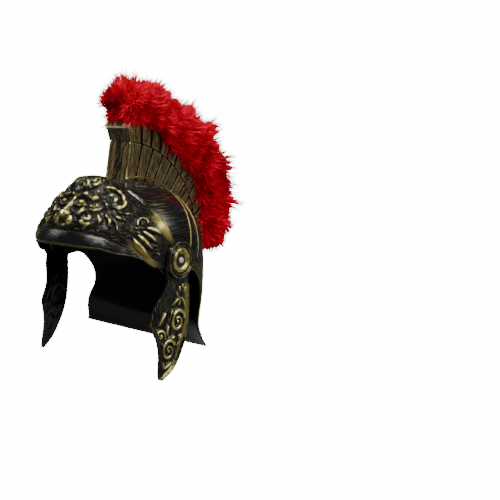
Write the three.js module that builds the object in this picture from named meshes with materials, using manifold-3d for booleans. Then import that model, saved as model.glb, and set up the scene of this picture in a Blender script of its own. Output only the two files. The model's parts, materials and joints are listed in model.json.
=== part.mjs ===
// Moulded legionary helmet: a skull with neck guard, a tilting brow visor with a lion mask,
// two swinging cheek guards on rivets under rosettes, a blocked crest box and a feather plume.
// Millimetres. +X is the wearer's left, -Y the front, +Z up.
// Everything is first laid out about the rivet axis (y = 0, z = 0), and a last group
// moves the origin to the inside of the crown, where the helmet sits on a head.

import * as THREE from "three";
import { mergeVertices } from "three/addons/utils/BufferGeometryUtils.js";
import Module from "manifold-3d";

const wasm = await Module();
wasm.setup();

// Fits
const wall = 2.2;
const gap = 0.3;

// Skull, measured from the rivet axis
const domeHeight = 87;
const domeHalfWidth = 97;
const domeFront = 103;
const domeBack = 104;
const domeCentreY = 15;
const skirtHalfWidth = 99.5;
const hemHalfWidth = 112;
const hemDepth = 93;
const hemCentreY = 17.8;
const hemDrop = 99.6;
const hemSlope = 0.36;
const browRimZ = 15;
const earNotchTopY = 32;
const earNotchDepth = 57;
const sideEdgeY = 47;
const hemCornerY = 57;

// Temple stack along the rivet axis
const bossFace = 98.2;
const bossRadius = 17;
const bossLength = 7;
const earRadius = 20;
const rivetShankRadius = 2;
const rivetHeadRadius = 3.6;
const rivetHeadHeight = 1.5;
const rivetClinchRadius = 4.6;
const rosetteRadius = 22.3;
const rosetteHeight = 5;
const rosetteFloor = 2.4;

// Brow visor, a shell of revolution about the rivet axis
const visorRadius = 98;
const visorHalfWidth = 103;
const visorEndAngle = 80;
const visorRearAngle = 75.5;
const visorLowAngle = 21;
const visorClearance = 3.6;
const visorTiltDown = 20;
const visorTiltUp = 10;
const visorHugAngle = 46;
const visorEarAngle = 66;
const lipReach = 4;
const lipHalfAngle = 62;
const lionRelief = 9;
const leafRelief = 3.2;

// Cheek guards
const guardLength = 140;
const guardWidth = 58;
const guardSweepIn = 13.5;
const guardSplay = 0.03;
const guardPadLength = 24;
const guardRestSwing = 13;
const guardRimHeight = 1.8;
const scrollRadius = 1.9;

// Crest box, in polar form about a centre behind the rivet axis
const crestCentreY = 25;
const crestLowerFront = 45.4;
const crestLowerBack = 18.5;
const crestUpperFront = 26;
const crestUpperBack = 15.5;
const crestLowerHalfWidth = 16.8;
const crestUpperHalfWidth = 18.6;
const crestGrooveDepth = 1.7;
const crestGrooveWidth = 2.2;
const crestLowerBlocks = 11;
const crestUpperBlocks = 13;
const crestSlotHalfWidth = 8;
const crestSlotDepth = 6;
const crestSink = 6;

// Plume
const plumeHeight = 46;
const plumeHalfWidth = 32;
const plumeLockLength = 22;
const plumeLockRadius = 12;
const plumeRows = 9;
const tailReach = 62;
const tailRadius = 14;

const degrees = Math.PI / 180;
const lerp = THREE.MathUtils.lerp;
const smooth = THREE.MathUtils.smoothstep;

// Mesh helpers

function geometryFrom(points, triangles) {
  const geometry = new THREE.BufferGeometry();
  geometry.setAttribute("position", new THREE.Float32BufferAttribute(points.flat(), 3));
  geometry.setIndex(triangles.flat());
  return geometry;
}

// A skin of rows of points, given a wall towards the inside and closed all round.
// wrap joins the last column to the first, and a row of one point is a pole.
function thickSkin(outer, inner, wrap) {
  const rows = [...outer, ...inner.slice().reverse()];
  if (!wrap) rows.push(outer[0]);
  const points = [];
  const index = rows.map((row) => row.map((point) => points.push(point) - 1));
  const triangles = [];
  const columns = wrap ? outer[1].length : outer[1].length - 1;
  for (let r = 0; r + 1 < rows.length; r += 1) {
    const above = index[r];
    const below = index[r + 1];
    for (let c = 0; c < columns; c += 1) {
      const a = above[c % above.length];
      const b = above[(c + 1) % above.length];
      const d = below[c % below.length];
      const e = below[(c + 1) % below.length];
      if (above.length > 1) triangles.push([a, d, b]);
      if (below.length > 1) triangles.push([b, d, e]);
    }
  }
  if (!wrap) {
    const half = outer.length;
    for (let r = 0; r + 1 < half; r += 1) {
      for (const column of [0, columns]) {
        const a = index[r][column];
        const b = index[r + 1][column];
        const d = index[2 * half - 1 - r][column];
        const e = index[2 * half - 2 - r][column];
        const sides = [[a, d, b], [b, d, e]];
        const turned = column === 0 ? sides : sides.map(([p, q, s]) => [p, s, q]);
        triangles.push(...turned);
      }
    }
  }
  return facingOut(geometryFrom(points, triangles));
}

// The same skin, turned round if its faces point inwards
function facingOut(geometry) {
  const spot = geometry.getAttribute("position");
  const index = geometry.index.array;
  const corner = (i) => new THREE.Vector3().fromBufferAttribute(spot, index[i]);
  let volume = 0;
  for (let i = 0; i < index.length; i += 3) volume += corner(i).dot(corner(i + 1).cross(corner(i + 2)));
  if (volume < 0) flip(index);
  return geometry;
}

function flip(index) {
  for (let i = 0; i < index.length; i += 3) [index[i], index[i + 1]] = [index[i + 1], index[i]];
}

function solid(geometry) {
  const bare = new THREE.BufferGeometry();
  bare.setAttribute("position", geometry.getAttribute("position").clone());
  if (geometry.index) bare.setIndex(geometry.index.clone());
  const merged = mergeVertices(bare, 1e-3);
  const mesh = new wasm.Mesh({
    numProp: 3,
    vertProperties: new Float32Array(merged.getAttribute("position").array),
    triVerts: new Uint32Array(merged.index.array),
  });
  return new wasm.Manifold(mesh);
}

function geometryOf(manifold) {
  const mesh = manifold.getMesh();
  const geometry = new THREE.BufferGeometry();
  geometry.setAttribute("position", new THREE.BufferAttribute(mesh.vertProperties, 3));
  geometry.setIndex(new THREE.BufferAttribute(mesh.triVerts, 1));
  return geometry;
}

function union(pieces) {
  return pieces.reduce((whole, piece) => whole.add(piece));
}

function mirrored(geometry) {
  const copy = geometry.clone();
  copy.scale(-1, 1, 1);
  flip(copy.index.array);
  return copy;
}

// A bar along X between two stations, centred on the rivet axis
function rivetBar(radius, from, to, sides) {
  const bar = new THREE.CylinderGeometry(radius, radius, to - from, sides);
  bar.rotateZ(Math.PI / 2);
  bar.translate((from + to) / 2, 0, 0);
  return solid(bar);
}

// A plate with a side outline of [y, z] points, centred on x = 0
function sidePlate(outline, halfWidth) {
  const shape = new THREE.Shape(outline.map(([y, z]) => new THREE.Vector2(y, z)));
  const plate = new THREE.ExtrudeGeometry(shape, { depth: 2 * halfWidth, bevelEnabled: false });
  plate.translate(0, 0, -halfWidth);
  plate.applyMatrix4(new THREE.Matrix4().makeBasis(
    new THREE.Vector3(0, 1, 0),
    new THREE.Vector3(0, 0, 1),
    new THREE.Vector3(1, 0, 0),
  ));
  return solid(plate);
}

// Skull

const skullColumns = 44;
const domeAngles = [9, 19, 30, 41, 52, 63, 73, 82, 90];

// How far down, how wide and how sloped each level under the dome is, as shares of the
// hem's drop, width and slope, and how deep behind, from 0 at the hem's depth to 1 at
// the dome's
const skirtLevels = [
  { drop: 0.15, width: -0.167, depth: 0.709, slope: 0.0 },
  { drop: 0.32, width: 0.0, depth: 0.382, slope: 0.14 },
  { drop: 0.48, width: 0.08, depth: -0.191, slope: 0.33 },
  { drop: 0.62, width: 0.12, depth: -0.764, slope: 0.55 },
  { drop: 0.73, width: 0.16, depth: -1.255, slope: 0.75 },
  { drop: 0.8, width: 0.24, depth: -1.377, slope: 0.86 },
  { drop: 0.9, width: 0.58, depth: -1.0, slope: 0.95 },
  { drop: 1.0, width: 1.0, depth: 0.0, slope: 1.0 },
];

function ring(point) {
  return Array.from({ length: skullColumns }, (_, c) => point((c / skullColumns) * 2 * Math.PI));
}

// The rings of the skull's skin, from the crown to the hem, drawn in by an inset
function skullRings(inset) {
  const rings = [[[0, domeCentreY, domeHeight - inset]]];
  for (const angle of domeAngles) {
    const across = Math.sin(angle * degrees);
    const up = Math.cos(angle * degrees);
    rings.push(ring((turn) => {
      const reach = Math.cos(turn) > 0 ? domeBack : domeFront;
      return [
        (domeHalfWidth - inset) * across * Math.sin(turn),
        domeCentreY + (reach - inset) * across * Math.cos(turn),
        (domeHeight - inset) * up,
      ];
    }));
  }
  for (const level of skirtLevels) {
    const halfWidth = lerp(skirtHalfWidth, hemHalfWidth, level.width) - inset;
    const depth = lerp(hemDepth, domeBack, level.depth) - inset;
    rings.push(ring((turn) => {
      const back = Math.cos(turn) > 0;
      const y = hemCentreY + (back ? depth : domeFront - inset) * Math.cos(turn);
      const slope = back ? hemSlope * level.slope * (y - hemCentreY) : 0;
      return [halfWidth * Math.sin(turn), y, -hemDrop * level.drop - slope];
    }));
  }
  return rings;
}

// The side outline of what is cut away: the face and the ear notches
function faceOutline() {
  const far = domeFront + domeHeight;
  const notchTop = -browRimZ - 1;
  const notchBack = notchTop - 38;
  return [
    [-far, browRimZ],
    [-0.56 * domeFront, browRimZ],
    [-0.3 * domeFront, browRimZ * 0.4],
    [-bossRadius - 1, -0.6 * bossRadius],
    [-0.5 * bossRadius, -bossRadius - 1],
    [0.5 * bossRadius, -bossRadius - 1],
    [earNotchTopY, notchTop],
    [lerp(earNotchTopY, earNotchDepth, 0.58), lerp(notchTop, notchBack, 0.27)],
    [lerp(earNotchTopY, earNotchDepth, 0.92), lerp(notchTop, notchBack, 0.63)],
    [earNotchDepth, notchBack],
    [lerp(earNotchDepth, sideEdgeY, 0.35), lerp(notchBack, -hemDrop, 0.28)],
    [lerp(earNotchDepth, sideEdgeY, 0.85), lerp(notchBack, -hemDrop, 0.5)],
    [sideEdgeY, lerp(notchBack, -hemDrop, 0.78)],
    [lerp(sideEdgeY, hemCornerY, 0.5), -hemDrop - 4],
    [hemCornerY, -hemDrop - hemSlope * hemCornerY],
    [hemCornerY, -2 * hemDrop],
    [-far, -2 * hemDrop],
  ];
}

function skull() {
  const shell = solid(thickSkin(skullRings(0), skullRings(wall), true));
  const cut = sidePlate(faceOutline(), 2 * hemHalfWidth);
  const boss = rivetBar(bossRadius, bossFace - bossLength, bossFace, 28);
  const hole = rivetBar(rivetShankRadius + gap, 0, 2 * bossFace, 12);
  const leftSide = (bar) => bar;
  const rightSide = (bar) => bar.mirror([1, 0, 0]);
  let body = shell.subtract(cut);
  for (const place of [leftSide, rightSide]) {
    body = body.add(place(boss)).subtract(place(hole));
  }
  return geometryOf(body);
}

// Brow visor

const visorColumns = 36;
const visorRows = 10;

// The visor's lower edge: side angle from the front and how high it lies there
const visorLowEdge = [
  { side: 0, rise: 1.0 },
  { side: 31, rise: 1.0 },
  { side: 40, rise: 0.86 },
  { side: 52, rise: 0.7 },
  { side: 61, rise: 0.33 },
  { side: 70, rise: -0.45 },
  { side: 80, rise: -1.0 },
];

function lowEdgeAngle(side) {
  const away = Math.abs(side);
  let k = 0;
  while (k + 2 < visorLowEdge.length && away > visorLowEdge[k + 1].side) k += 1;
  const a = visorLowEdge[k];
  const b = visorLowEdge[k + 1];
  const share = (away - a.side) / (b.side - a.side);
  return visorLowAngle * lerp(a.rise, b.rise, share);
}

// Raised forms of the lion mask and the leaves beside it. side and rise are degrees
// from the front and from the rivet level, width and tall the half sizes in degrees,
// and up the height as a share of the mask's or the leaves' relief.
const maskForms = [
  { side: 0, rise: 36, width: 5, tall: 8, up: 1.0, of: lionRelief },
  { side: 0, rise: 29, width: 9, tall: 4, up: 0.6, of: lionRelief },
  { side: 6, rise: 47, width: 5, tall: 3.5, up: 0.75, of: lionRelief },
  { side: 8, rise: 33, width: 5, tall: 6, up: 0.6, of: lionRelief },
  { side: 0, rise: 63, width: 20, tall: 13, up: 1.0, of: lionRelief },
  { side: 12, rise: 55, width: 6, tall: 5, up: 0.5, of: lionRelief },
  { side: 18, rise: 45, width: 6, tall: 6, up: 0.5, of: lionRelief },
  { side: 20, rise: 33, width: 6, tall: 5, up: 0.45, of: lionRelief },
  { side: 34, rise: 40, width: 7, tall: 10, up: 1.0, of: leafRelief },
  { side: 34, rise: 60, width: 6, tall: 7, up: 0.9, of: leafRelief },
  { side: 48, rise: 34, width: 6, tall: 9, up: 1.0, of: leafRelief },
  { side: 49, rise: 54, width: 6, tall: 8, up: 0.9, of: leafRelief },
  { side: 61, rise: 34, width: 5, tall: 12, up: 0.8, of: leafRelief },
];

function visorRelief(side, rise) {
  let height = 0;
  for (const form of maskForms) {
    const across = (Math.abs(side) - form.side) / form.width;
    const along = (rise - form.rise) / form.tall;
    const bump = Math.exp(-across * across - along * along) * form.up * form.of;
    height = Math.max(height, bump);
  }
  return height;
}

// How far the dome's skin lies from the rivet axis, at a share of the dome's half width
// and in the direction of a rise
function domeFromAxis(share, rise) {
  const round = Math.sqrt(1 - share * share);
  const offset = domeCentreY / (domeFront * round);
  if (offset >= 1) return 0;
  const forward = Math.cos(rise * degrees) / (domeFront * round);
  const up = Math.sin(rise * degrees) / (domeHeight * round);
  const a = forward * forward + up * up;
  const b = 2 * offset * forward;
  return (-b + Math.sqrt(b * b - 4 * a * (offset * offset - 1))) / (2 * a);
}

// One point of the visor at a side angle, a rise and a height above its own inner face.
// It follows the dome, clear of it at both ends of its tilt, and turns to a plain round
// form about the rivet axis near the ears.
function visorPoint(side, rise, reach, inset) {
  const across = Math.sin(side * degrees);
  const tilted = Math.max(
    domeFromAxis(across, rise - visorTiltDown),
    domeFromAxis(across, rise + visorTiltUp),
  );
  const ear = smooth(Math.abs(side), visorHugAngle, visorEarAngle);
  const closeX = (domeHalfWidth + visorClearance - inset) * across;
  const earX = THREE.MathUtils.clamp((visorHalfWidth - inset) * across, -earFace(inset), earFace(inset));
  const earAway = (visorRadius - inset) * Math.cos(side * degrees);
  const away = lerp(tilted + visorClearance - inset, earAway, ear);
  const out = away + reach * Math.cos(side * degrees);
  return [
    lerp(closeX, earX, ear) + reach * across,
    -out * Math.cos(rise * degrees),
    out * Math.sin(rise * degrees),
  ];
}

function earFace(inset) {
  return bossFace + gap + wall - inset;
}

function visor() {
  const rowAt = (inset, rowAngle, rowReach) => Array.from({ length: visorColumns + 1 }, (_, c) => {
    const side = lerp(-visorEndAngle, visorEndAngle, c / visorColumns);
    const rise = rowAngle(side);
    return visorPoint(side, rise, rowReach(side, rise), inset);
  });
  const skin = (inset) => {
    const rows = [];
    for (let r = 0; r <= visorRows; r += 1) {
      const share = r / visorRows;
      const angle = (side) => lerp(visorRearAngle, lowEdgeAngle(side), share);
      const fade = smooth(share, 0, 0.12) * (1 - smooth(share, 0.9, 1));
      rows.push(rowAt(inset, angle, (side, rise) => (inset > 0 ? 0 : fade * visorRelief(side, rise))));
    }
    for (const step of [0.5, 1]) {
      const spread = (side) => Math.max(0, 1 - (side / lipHalfAngle) ** 4);
      const drop = visorLowAngle * 0.4;
      const thin = inset > 0 ? 0.12 : 0;
      const angle = (side) => lowEdgeAngle(side) - drop * step * spread(side) - 1.2 * step - 5 * thin;
      rows.push(rowAt(inset, angle, (side) => lipReach * step * spread(side) + (inset > 0 ? 0.8 * inset : 0)));
    }
    return rows;
  };
  const shell = solid(thickSkin(skin(0), skin(wall), false));
  const ear = rivetBar(earRadius, bossFace + gap, bossFace + gap + wall, 32);
  const hole = rivetBar(rivetShankRadius + gap, 0, 2 * bossFace, 12);
  const body = union([shell, ear, ear.mirror([1, 0, 0])]);
  return geometryOf(body.subtract(hole).subtract(hole.mirror([1, 0, 0])));
}

// Cheek guards, laid out hanging straight down and then swung forward to rest

const guardColumns = 6;

// Down as a share of the guard's length, front and back edge as shares of its width
const guardOutline = [
  { down: -0.138, front: 0.08, back: -0.1 },
  { down: -0.11, front: 0.22, back: -0.24 },
  { down: -0.04, front: 0.32, back: -0.34 },
  { down: 0.05, front: 0.32, back: -0.38 },
  { down: 0.12, front: 0.28, back: -0.38 },
  { down: 0.2, front: 0.25, back: -0.43 },
  { down: 0.29, front: 0.25, back: -0.49 },
  { down: 0.38, front: 0.28, back: -0.53 },
  { down: 0.46, front: 0.325, back: -0.555 },
  { down: 0.53, front: 0.37, back: -0.565 },
  { down: 0.565, front: 0.37, back: -0.562 },
  { down: 0.61, front: 0.29, back: -0.555 },
  { down: 0.68, front: 0.175, back: -0.525 },
  { down: 0.76, front: 0.1, back: -0.47 },
  { down: 0.84, front: 0.06, back: -0.395 },
  { down: 0.91, front: 0.045, back: -0.3 },
  { down: 0.96, front: 0.03, back: -0.185 },
  { down: 1.0, front: 0.0, back: -0.08 },
];

// How far out the guard's inner face lies at a place forward of and below the rivet
function guardFace(forward, down) {
  const pad = bossFace + gap + wall + gap;
  const sweep = (forward + 0.62 * guardWidth) / guardWidth;
  const free = smooth(down, guardPadLength, 2.5 * guardPadLength);
  const splay = guardSplay * Math.max(0, down - guardPadLength);
  return pad - guardSweepIn * sweep * sweep * free + splay;
}

function guardSkin(lift) {
  return guardOutline.map((row) => Array.from({ length: guardColumns + 1 }, (_, c) => {
    const share = c / guardColumns;
    const forward = guardWidth * lerp(row.front, row.back, share);
    const down = guardLength * row.down;
    const rim = c === 0 || c === guardColumns ? guardRimHeight : 0;
    const free = smooth(down, guardPadLength - 4, guardPadLength + 6);
    return [guardFace(forward, down) + lift * (wall + rim * free), -forward, -down];
  }));
}

// A raised scroll on the outer face: a spiral about a centre, winding in
function scroll(centreForward, centreDown, size, turns, hand) {
  const points = [];
  const steps = Math.round(turns * 8);
  for (let k = 0; k <= steps; k += 1) {
    const turn = (k / steps) * turns * 2 * Math.PI;
    const radius = size * (1 - 0.8 * (k / steps));
    const forward = centreForward + radius * Math.cos(turn) * hand;
    const down = centreDown + radius * Math.sin(turn);
    points.push(new THREE.Vector3(guardFace(forward, down) + wall, -forward, -down));
  }
  return ribbon(new THREE.CatmullRomCurve3(points), scrollRadius, steps, 4);
}

function ribbon(curve, radius, steps, sides) {
  const shape = new THREE.Shape();
  for (let k = 0; k < sides; k += 1) {
    const turn = (k / sides) * 2 * Math.PI;
    const point = [radius * Math.cos(turn), radius * Math.sin(turn)];
    if (k === 0) shape.moveTo(...point);
    else shape.lineTo(...point);
  }
  shape.closePath();
  return solid(new THREE.ExtrudeGeometry(shape, { steps, bevelEnabled: false, extrudePath: curve }));
}

function cheekGuard() {
  const plate = solid(thickSkin(guardSkin(1), guardSkin(0), false));
  const hole = rivetBar(rivetShankRadius + gap, 0, 2 * bossFace, 12);
  const scrolls = [
    scroll(-0.17 * guardWidth, 0.3 * guardLength, 0.2 * guardWidth, 1.1, -1),
    scroll(-0.15 * guardWidth, 0.54 * guardLength, 0.27 * guardWidth, 1.4, 1),
    scroll(-0.2 * guardWidth, 0.78 * guardLength, 0.17 * guardWidth, 1.2, 1),
  ];
  return geometryOf(union([plate, ...scrolls]).subtract(hole));
}

// Rosettes and rivets

function rosetteSeat() {
  return bossFace + gap + wall + gap + wall + gap;
}

function lathedAlongX(profile, sides) {
  const points = profile.map(([radius, x]) => new THREE.Vector2(radius, x));
  const lathe = new THREE.LatheGeometry(points, sides);
  lathe.rotateZ(-Math.PI / 2);
  return geometryOf(solid(lathe));
}

function rosette() {
  const seat = rosetteSeat();
  const hole = rivetShankRadius + gap;
  const top = seat + rosetteHeight;
  const floor = seat + rosetteFloor;
  return lathedAlongX([
    [hole, seat],
    [rosetteRadius, seat],
    [rosetteRadius, top - 2],
    [0.93 * rosetteRadius, top - 0.5],
    [0.82 * rosetteRadius, top - 0.7],
    [0.75 * rosetteRadius, floor],
    [0.66 * rosetteRadius, floor],
    [0.59 * rosetteRadius, top],
    [0.5 * rosetteRadius, top],
    [0.4 * rosetteRadius, floor],
    [hole, floor],
    [hole, seat],
  ], 24);
}

function rivet() {
  const inside = bossFace - bossLength - gap;
  const outside = rosetteSeat() + rosetteFloor + gap;
  return lathedAlongX([
    [0, inside - rivetHeadHeight],
    [rivetClinchRadius, inside - rivetHeadHeight],
    [rivetClinchRadius, inside],
    [rivetShankRadius, inside],
    [rivetShankRadius, outside],
    [rivetHeadRadius, outside],
    [0.8 * rivetHeadRadius, outside + rivetHeadHeight],
    [0, outside + rivetHeadHeight],
  ], 12);
}

// Crest box. Three curves carry it: on the dome, between the tiers and at the top.
// Each runs from a front angle to a back angle about the crest's centre.
const crestCurves = {
  base: { front: 104, back: -18, lower: 0, upper: 0 },
  tier: { front: 96, back: -7, lower: 1, upper: 0 },
  top: { front: 96, back: -3, lower: 1, upper: 1 },
};

// How far the dome or the skirt behind it lies from the crest's centre
function domeReach(angle) {
  const up = Math.sin(angle * degrees) / domeHeight;
  const back = Math.cos(angle * degrees) / domeBack;
  const offset = (crestCentreY - domeCentreY) / domeBack;
  if (angle < 0) return (domeCentreY + domeBack - crestCentreY) / Math.cos(angle * degrees);
  const a = up * up + back * back;
  const b = 2 * offset * back;
  const c = offset * offset - 1;
  return (-b + Math.sqrt(b * b - 4 * a * c)) / (2 * a);
}

// A [y, z] point of the crest at a share from front to back, raised by lift
function crestPoint(curve, share, lift) {
  const angle = lerp(curve.front, curve.back, share);
  const lower = lerp(crestLowerFront, crestLowerBack, Math.min(1, share / 0.8));
  const upper = lerp(crestUpperFront, crestUpperBack, share);
  const reach = domeReach(angle) + curve.lower * lower + curve.upper * upper + lift;
  return [crestCentreY + reach * Math.cos(angle * degrees), reach * Math.sin(angle * degrees)];
}

function crestOutline(under, over, from, to, steps, sink, rise) {
  const outline = [];
  for (let k = 0; k <= steps; k += 1) outline.push(crestPoint(over, lerp(from, to, k / steps), rise));
  for (let k = steps; k >= 0; k -= 1) outline.push(crestPoint(under, lerp(from, to, k / steps), -sink));
  return outline.reverse();
}

function crestTier(under, over, blocks, halfWidth, sink) {
  const core = sidePlate(
    crestOutline(under, over, 0.006, 0.994, 24, sink, -crestGrooveDepth),
    halfWidth - crestGrooveDepth,
  );
  const length = 2.1 * (domeReach(60) + crestLowerBack);
  const groove = crestGrooveWidth / length;
  const pieces = [core];
  for (let k = 0; k < blocks; k += 1) {
    const from = (k + 0.0) / blocks + (k === 0 ? 0 : groove / 2);
    const to = (k + 1) / blocks - (k + 1 === blocks ? 0 : groove / 2);
    pieces.push(sidePlate(crestOutline(under, over, from, to, 2, sink, 0), halfWidth));
  }
  return union(pieces);
}

function crestBox() {
  const lower = crestTier(crestCurves.base, crestCurves.tier, crestLowerBlocks, crestLowerHalfWidth, crestSink);
  const upper = crestTier(crestCurves.tier, crestCurves.top, crestUpperBlocks, crestUpperHalfWidth, crestGrooveDepth + 1);
  const slot = sidePlate(
    crestOutline(crestCurves.top, crestCurves.top, 0, 1, 24, crestSlotDepth, 2 * wall),
    crestSlotHalfWidth,
  );
  const hollow = sidePlate(
    crestOutline(crestCurves.base, crestCurves.top, 0.03, 0.97, 24, 2 * crestSink, -crestSlotDepth - wall),
    crestLowerHalfWidth - crestGrooveDepth - wall,
  );
  const dome = solid(thickSkin(skullRings(-gap), skullRings(2 * wall), true));
  const core = solid(thickSkin(skullRings(wall), skullRings(2 * crestSink), true));
  return geometryOf(lower.add(upper).subtract(slot).subtract(hollow).subtract(dome).subtract(core));
}

// Plume. Shares run from the front to the back end of the crest's top curve, and
// height and width are shares of the plume's height and half width.
const plumeSections = [
  { along: -0.03, height: 0.55, width: 0.55 },
  { along: 0.02, height: 0.92, width: 0.85 },
  { along: 0.1, height: 1.1, width: 1.0 },
  { along: 0.2, height: 1.14, width: 1.05 },
  { along: 0.32, height: 1.1, width: 1.0 },
  { along: 0.44, height: 1.12, width: 1.0 },
  { along: 0.56, height: 1.16, width: 1.05 },
  { along: 0.67, height: 1.16, width: 1.0 },
  { along: 0.78, height: 0.95, width: 0.95 },
  { along: 0.87, height: 0.78, width: 0.9 },
  { along: 0.94, height: 0.6, width: 0.75 },
  { along: 0.99, height: 0.35, width: 0.45 },
];

const plumeSides = 10;

function plumeSectionRing(section) {
  const middle = 0.5 * plumeHeight * section.height;
  return Array.from({ length: plumeSides }, (_, k) => {
    const turn = (k / plumeSides) * 2 * Math.PI;
    const lift = gap + middle * (1 - Math.cos(turn));
    const [y, z] = crestPoint(crestCurves.top, section.along, lift);
    return [plumeHalfWidth * section.width * Math.sin(turn), y, z];
  });
}

function plumeBody() {
  const first = plumeSections[0];
  const last = plumeSections[plumeSections.length - 1];
  const end = (section) => {
    const [y, z] = crestPoint(crestCurves.top, section.along, 0.5 * plumeHeight * section.height);
    return [[0, y, z]];
  };
  const rings = plumeSections.map(plumeSectionRing);
  return solid(closedRings([end(first), ...rings, end(last)]));
}

// Rings of points joined into one closed skin with a pole at each end
function closedRings(rings) {
  const points = [];
  const index = rings.map((row) => row.map((point) => points.push(point) - 1));
  const triangles = [];
  const columns = rings[1].length;
  for (let r = 0; r + 1 < rings.length; r += 1) {
    const above = index[r];
    const below = index[r + 1];
    for (let c = 0; c < columns; c += 1) {
      const a = above[c % above.length];
      const b = above[(c + 1) % above.length];
      const d = below[c % below.length];
      const e = below[(c + 1) % below.length];
      if (above.length > 1) triangles.push([a, b, d]);
      if (below.length > 1) triangles.push([b, e, d]);
    }
  }
  return facingOut(geometryFrom(points, triangles));
}

// One feather lock: a cone from inside the body out to its tip
function plumeLock(along, turn, stretch) {
  const section = plumeSections[Math.min(plumeSections.length - 1, Math.round(along * (plumeSections.length - 1)))];
  const height = plumeHeight * section.height;
  const [y, z] = crestPoint(crestCurves.top, along, 0.5 * height);
  const [outY, outZ] = crestPoint(crestCurves.top, along, height);
  const up = new THREE.Vector3(0, outY - y, outZ - z).normalize();
  const back = new THREE.Vector3(0, up.z, -up.y);
  const side = new THREE.Vector3(Math.sin(turn), 0, 0);
  const away = up.clone().multiplyScalar(Math.cos(turn)).add(side).addScaledVector(back, 0.45).normalize();
  const root = new THREE.Vector3(0, y, z).addScaledVector(up, 0.2 * height * Math.cos(turn));
  root.addScaledVector(side, 0.45 * plumeHalfWidth);
  const length = (plumeLockLength + 0.32 * height) * stretch;
  const cone = new THREE.ConeGeometry(plumeLockRadius, length, 5, 1);
  cone.translate(0, length / 2, 0);
  cone.applyQuaternion(new THREE.Quaternion().setFromUnitVectors(new THREE.Vector3(0, 1, 0), away));
  cone.translate(root.x, root.y, root.z);
  return solid(cone);
}

// The loose end of the feathers, curling down behind the crest and back to its lower end
function plumeTail() {
  const at = (along, reach) => {
    const [y, z] = crestPoint(crestCurves.top, along, reach);
    return new THREE.Vector3(0, y, z);
  };
  const curve = new THREE.CatmullRomCurve3([
    at(0.62, 0.62 * tailReach),
    at(0.7, 0.84 * tailReach),
    at(0.79, 0.98 * tailReach),
    at(0.87, tailReach),
    at(0.945, 0.88 * tailReach),
    at(0.985, 0.58 * tailReach),
    at(0.97, 0.27 * tailReach),
  ]);
  return ribbon(curve, tailRadius, 14, 8);
}

function plume() {
  const pieces = [plumeBody(), plumeTail()];
  const turns = [-75, -38, 0, 38, 75];
  for (let row = 0; row < plumeRows; row += 1) {
    turns.forEach((turn, k) => {
      const shift = ((row + k) % 2) * 0.5;
      const along = (row + 0.15 + shift) / plumeRows;
      const stretch = 0.85 + 0.2 * Math.sin(5 * row + 3 * k);
      pieces.push(plumeLock(along, (turn + 8 * Math.sin(7 * row + k)) * degrees, stretch));
    });
  }
  const backing = sidePlate(
    crestOutline(crestCurves.top, crestCurves.top, 0.01, 0.985, 24, crestSlotDepth - gap, 0.3 * plumeHeight),
    crestSlotHalfWidth - gap,
  );
  const under = [
    [crestCurves.base, crestCurves.top, crestUpperHalfWidth + gap, gap],
    [crestCurves.top, crestCurves.top, crestSlotHalfWidth, 2 * gap],
  ];
  const [crest, channel] = under.map(([low, high, halfWidth, rise]) => sidePlate(
    crestOutline(low, high, -0.004, 1.004, 24, crestSlotDepth + 1, rise),
    halfWidth,
  ));
  const keepOut = crest.subtract(channel);
  return geometryOf(union(pieces).subtract(crest).add(backing).subtract(keepOut));
}

// Materials

const finish = {
  antique: new THREE.MeshStandardMaterial({ color: 0x2c2a20, roughness: 0.35, metalness: 0.5 }),
  crest: new THREE.MeshStandardMaterial({ color: 0x5a4a2a, roughness: 0.4, metalness: 0.5 }),
  relief: new THREE.MeshStandardMaterial({ color: 0x8a7a45, roughness: 0.38, metalness: 0.6 }),
  feather: new THREE.MeshStandardMaterial({ color: 0xc00520, roughness: 0.9, metalness: 0 }),
  steel: new THREE.MeshStandardMaterial({ color: 0x9a9a98, roughness: 0.35, metalness: 1 }),
};

// Assembly

const helmet = new THREE.Group();
helmet.position.set(0, -domeCentreY, wall - domeHeight);

function place(name, geometry, material, parent) {
  const mesh = new THREE.Mesh(geometry, material);
  mesh.name = name;
  parent.add(mesh);
}

place("skull", skull(), finish.antique, helmet);
place("crest_box", crestBox(), finish.crest, helmet);
place("plume", plume(), finish.feather, helmet);
place("visor", visor(), finish.relief, helmet);

const guards = new THREE.Group();
guards.rotation.x = -guardRestSwing * degrees;
helmet.add(guards);

const leftParts = [
  ["cheek_guard", cheekGuard(), finish.relief, guards],
  ["rosette", rosette(), finish.relief, helmet],
  ["rivet", rivet(), finish.steel, helmet],
];
for (const [name, geometry, material, parent] of leftParts) {
  place(`${name}_left`, geometry, material, parent);
  place(`${name}_right`, mirrored(geometry), material, parent);
}

const part = new THREE.Group();
part.add(helmet);

export default part;
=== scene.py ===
"""Looks of the moulded legionary helmet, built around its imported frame."""
import math

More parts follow.
